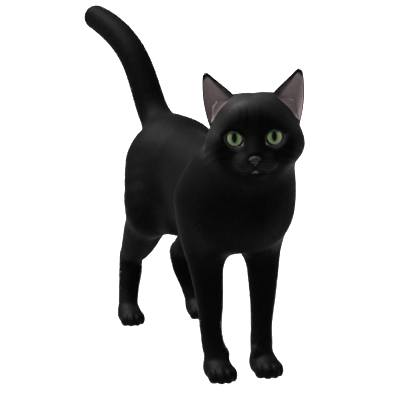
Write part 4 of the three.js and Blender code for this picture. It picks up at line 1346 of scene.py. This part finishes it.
def growCoat():
    # each tuft starts under the skin, follows the lie at its root, and its middle and tip are set to a
    # height in the coat: level = -depth + depth * full * random, a part of it at the middle
    share = shares(bodyPoints)
    centre = bodyPoints[bodyFaces].mean(1)
    density = blendTufts(centre, share[bodyFaces].mean(1))[2]
    root, normal = scatter(bodyPoints, bodyFaces, bodyNormals, density)
    keep = ~bareGround(root)
    root, normal = root[keep], normal[keep]
    share, q = shares(root), toHead(root)
    fine = np.maximum(share[:, 5], smooth(root[:, 2], 50, 28))[:, None]
    broad = unit(slopeOf(catField, root, coatForm["broadNormal"]))
    broad = unit(broad + (normal - broad) * fine)
    length, width, _ = blendTufts(root, share)
    count = len(root)
    length = length * draw.uniform(*coatForm["lengths"], count)
    width = width * draw.uniform(*coatForm["widths"], count)
    lie = lieAt(root, normal)
    deep = depthAt(root)
    fineness = np.maximum(share[:, 5], smooth(root[:, 2], 45, 20))
    full = coatForm["full"] - (coatForm["full"] - coatForm["fineFull"]) * fineness
    rise = deep * full * draw.uniform(*coatForm["heights"], count)
    beside = smooth(openingGap(q), *coatForm["besideLids"])
    length = length * (1 - coatForm["lidShorter"] * beside)
    onField = [toLevel(root + lie * (length * part)[:, None], normal, -deep + rise * high)
               for part, high in coatForm["onField"]]
    onLids = [root + lie * (length * part)[:, None] + normal * high for part, high in coatForm["onLids"]]
    middle, tip = (a + (b - a) * beside[:, None] for a, b in zip(onField, onLids))
    for ends in (middle, tip):
        ends[:, 2] = np.maximum(ends[:, 2], coatForm["lowest"])
    roll = draw.normal(0, coatForm["roll"], count)[:, None]
    side = unit(np.cross(normal, lie)) * np.cos(roll) + normal * np.sin(roll)
    corners = blades(root - normal * coatForm["sunk"], middle, tip, side, width)
    ghost = markings(root)
    shading = shadingOf(broad, lie, coatForm["lean"] + coatForm["streakLean"] * ghost)
    label = np.argmax(share, 1)
    chart = charts(root, label)
    mean, waves, uneven = coatForm["tone"]
    tone = np.clip(mean + waves * wave(root, 14, 8) + draw.normal(0, uneven, count) + pads(root), 0, 1)
    # sleek: glossier on the skull and feet, duller on the face, tail and shanks
    face = smooth(ball(q, *coatForm["face"]), 12, -10)
    sleek = share[:, 5] * (1 - 2.2 * face) + 0.3 * smooth(root[:, 2], 60, 30)
    shank = smooth(root[:, 2], 150, 105) * smooth(root[:, 2], 40, 60)
    sleek -= 0.8 * share[:, 4] + 0.8 * share[:, 3] * shank
    return [tuftPiece(name, corners[k], chart[k], tone[k], ghost[k], sleek[k], shading[k])
            for name, k in coatGroups(root, label).items()]


earCoat = {"outside": 9000, "rim": 2200, "length": 3.2, "width": 0.40, "rise": 0.5, "lean": 0.08,
           "roll": 0.15, "sunk": 0.15, "spread": 0.12, "tone": [0.12, 0.07], "sleek": 0.5,
           "hairs": 300, "hairLength": 7.0, "hairWidth": 0.12, "hairRise": 1.2}


def earFrame(v, t, share):
    # a point of the ear's wall at share of its thickness, the ways up and across, and its outward normal
    root = earSheet(v, t, share)
    up = unit(earSheet(v + 0.01, t, share) - root)
    across = unit(earSheet(v, t + 0.01, share) - earSheet(v, t - 0.01, share))
    normal = unit(np.cross(up, across))
    normal *= np.sign(np.einsum("ij,j->i", normal, ear["back"]))[:, None]
    return root, up, across, normal


def earBlades(root, lie, normal, length, width, rise):
    # blades that lie along the wall, their tips raised from it, and the normals they are lit by
    lie = unit(lie - normal * np.einsum("ij,ij->i", lie, normal)[:, None])
    middle = root + lie * (length * 0.5)[:, None] + normal * rise * 0.8
    tip = root + lie * length[:, None] + normal * rise
    roll = draw.normal(0, earCoat["roll"], len(root))[:, None]
    sideways = unit(np.cross(normal, lie)) * np.cos(roll) + normal * np.sin(roll)
    made = blades(root - normal * earCoat["sunk"], middle, tip, sideways, width)
    return made, shadingOf(normal, lie, earCoat["lean"] + 0 * width)


def earTufts(side, name):
    # rows of short tufts up the back of an ear and over its rim
    rows = []
    for kind, share in (("outside", 0.1), ("rim", 0.45)):
        count = earCoat[kind]
        v = 1.02 - 1.1 * np.sqrt(draw.random(count))
        t = draw.uniform(-1, 1, count)
        if kind == "rim":
            v = draw.uniform(-0.05, 0.99, count)
            t = np.where(draw.random(count) < 0.5, -1, 1) * draw.uniform(0.94, 1, count)
        v = np.clip(v, -0.08, 0.985)
        root, up, across, normal = earFrame(v, t, share)
        if kind == "rim":
            normal = unit(normal * 0.5 + across * np.sign(t)[:, None])
        lie = up + across * draw.normal(0, earCoat["spread"], count)[:, None]
        length = earCoat["length"] * draw.uniform(0.7, 1.2, count) * (1 - 0.45 * smooth(v, 0.75, 1))
        width = earCoat["width"] * draw.uniform(0.7, 1.3, count)
        made, shading = earBlades(root, lie, normal, length, width, earCoat["rise"])
        rows.append((made, shading, np.stack([(t + 1) / 2, (v + 0.1) / 1.1], -1)))
    made, shading, chart = (np.concatenate(row) for row in zip(*rows))
    keep = catField(fromHead(made[:, 0] * [side, 1, 1])) > -0.5
    made, shading = fromHead(made[keep] * [side, 1, 1]), (shading[keep] * [side, 1, 1]) @ headAxes
    chart = chart[keep]
    tone = np.clip(draw.normal(*earCoat["tone"], len(made)), 0, 1)
    return tuftPiece("coat_ear_" + name, made, chart, tone, 0 * tone, earCoat["sleek"] + 0 * tone, shading)


def earHairs(side, name):
    # long thin hairs from the ear's front edge across its hollow
    count = earCoat["hairs"]
    v = draw.uniform(0, 0.7, count) ** 1.4
    t = draw.uniform(-0.98, -0.62, count)
    root, up, across, normal = earFrame(v, t, 0.9)
    lie = up * 0.8 + across * draw.uniform(0.5, 1.3, count)[:, None] - normal * 0.25
    length = earCoat["hairLength"] * draw.uniform(0.5, 1.2, count)
    made, shading = earBlades(root, lie, -normal, length, earCoat["hairWidth"] + 0 * v, earCoat["hairRise"])
    made, shading = fromHead(made * [side, 1, 1]), (shading * [side, 1, 1]) @ headAxes
    tone, chart = draw.uniform(0.3, 1, count), np.stack([(t + 1) / 2, v], -1)
    return tuftPiece("hair_ear_" + name, made, chart, tone, 0 * v, 0 * v, shading)


def hairFinish():
    material, graph = newMaterial("grey ear hair")
    colour = attribute(graph, "tone").mix(finish["black"], finish["hair"])
    surface(graph, Base_Color=colour, Roughness=0.5, Specular_IOR_Level=0.1, IOR=1.5)
    return material


earHair = hairFinish()
for side, name in sides:
    dress(earTufts(side, name), coat, "ear")
    dress(earHairs(side, name), earHair, "ear")
for piece in growCoat():
    dress(piece, coat, "coat")
print("stage: coat")

# floor, lights and camera
view = {"azimuth": -20.36, "elevation": 10.97, "distance": 1800, "focal": 1521.9, "frame": 420,
        "across": 13.3, "up": 16.29, "target": [0, 0, 150], "sensor": 36, "farthest": 100}
light = {"world": 1.05, "sun": 12.5, "spread": 32,
         "from": [-0.42, -0.22, 0.82]}  # to the right in the view, towards the camera, and up
floorLook = {"radius": 30000, "sides": 64, "grey": (0.5, 0.5, 0.5, 1)}


def setCamera():
    # looks along minus "back" at the target, moved across and up in the view's own plane
    a, e = math.radians(view["azimuth"]), math.radians(view["elevation"])
    back = np.array([math.sin(a) * math.cos(e), -math.cos(a) * math.cos(e), math.sin(e)])
    right = np.array([math.cos(a), math.sin(a), 0])
    up = np.cross(back, right)
    aim = np.array(view["target"]) + right * view["across"] + up * view["up"]
    data = bpy.data.cameras.new("camera")
    data.sensor_width = view["sensor"]
    data.lens = view["sensor"] * view["focal"] / view["frame"]
    data.clip_end = view["farthest"]
    camera = bpy.data.objects.new("camera", data)
    bpy.context.scene.collection.objects.link(camera)
    matrix = np.eye(4)
    matrix[:3, 0], matrix[:3, 1], matrix[:3, 2] = right, up, back
    matrix[:3, 3] = toFrame(aim + back * view["distance"])
    camera.matrix_world = Matrix(matrix.tolist())
    bpy.context.scene.camera = camera
    return right, back


def setFloor():
    # a disc under the feet
    n = floorLook["sides"]
    angle = np.linspace(0, 2 * math.pi, n, endpoint=False)
    centre = -shift * [1, 1, 0]
    rim = np.stack([np.cos(angle), np.sin(angle), 0 * angle], -1) * floorLook["radius"] + centre
    i = np.arange(n)
    floor = meshFrom("floor", np.vstack([centre, rim]), np.stack([0 * i, 1 + i, 1 + (i + 1) % n], -1))
    material, graph = newMaterial("pale floor")
    surface(graph, Base_Color=floorLook["grey"], Roughness=0.9, Specular_IOR_Level=0.1)
    floor.data.materials.append(material)


def setLight(right, back):
    # a white world, and a broad sun from above, left in the view and a little behind the cat
    world = bpy.data.worlds.new("studio")
    world.use_nodes = True
    world.node_tree.nodes["Background"].inputs[0].default_value = (1, 1, 1, 1)
    world.node_tree.nodes["Background"].inputs[1].default_value = light["world"]
    bpy.context.scene.world = world
    data = bpy.data.lights.new("key", "SUN")
    data.use_shadow = False  # the floor stays plain
    data.energy, data.angle = light["sun"], math.radians(light["spread"])
    key = bpy.data.objects.new("key", data)
    bpy.context.scene.collection.objects.link(key)
    toLight = unit(right * light["from"][0] + unit(back * [1, 1, 0]) * light["from"][1]
                   + np.array([0, 0, light["from"][2]]))
    side = unit(np.cross([0, 0, 1], toLight))
    matrix = np.eye(4)
    matrix[:3, 0], matrix[:3, 1], matrix[:3, 2] = side, np.cross(toLight, side), toLight
    key.matrix_world = Matrix(matrix.tolist())


right, back = setCamera()
setFloor()
setLight(right, back)
bpy.context.scene.view_settings.view_transform = "Standard"
print("stage: camera and light")
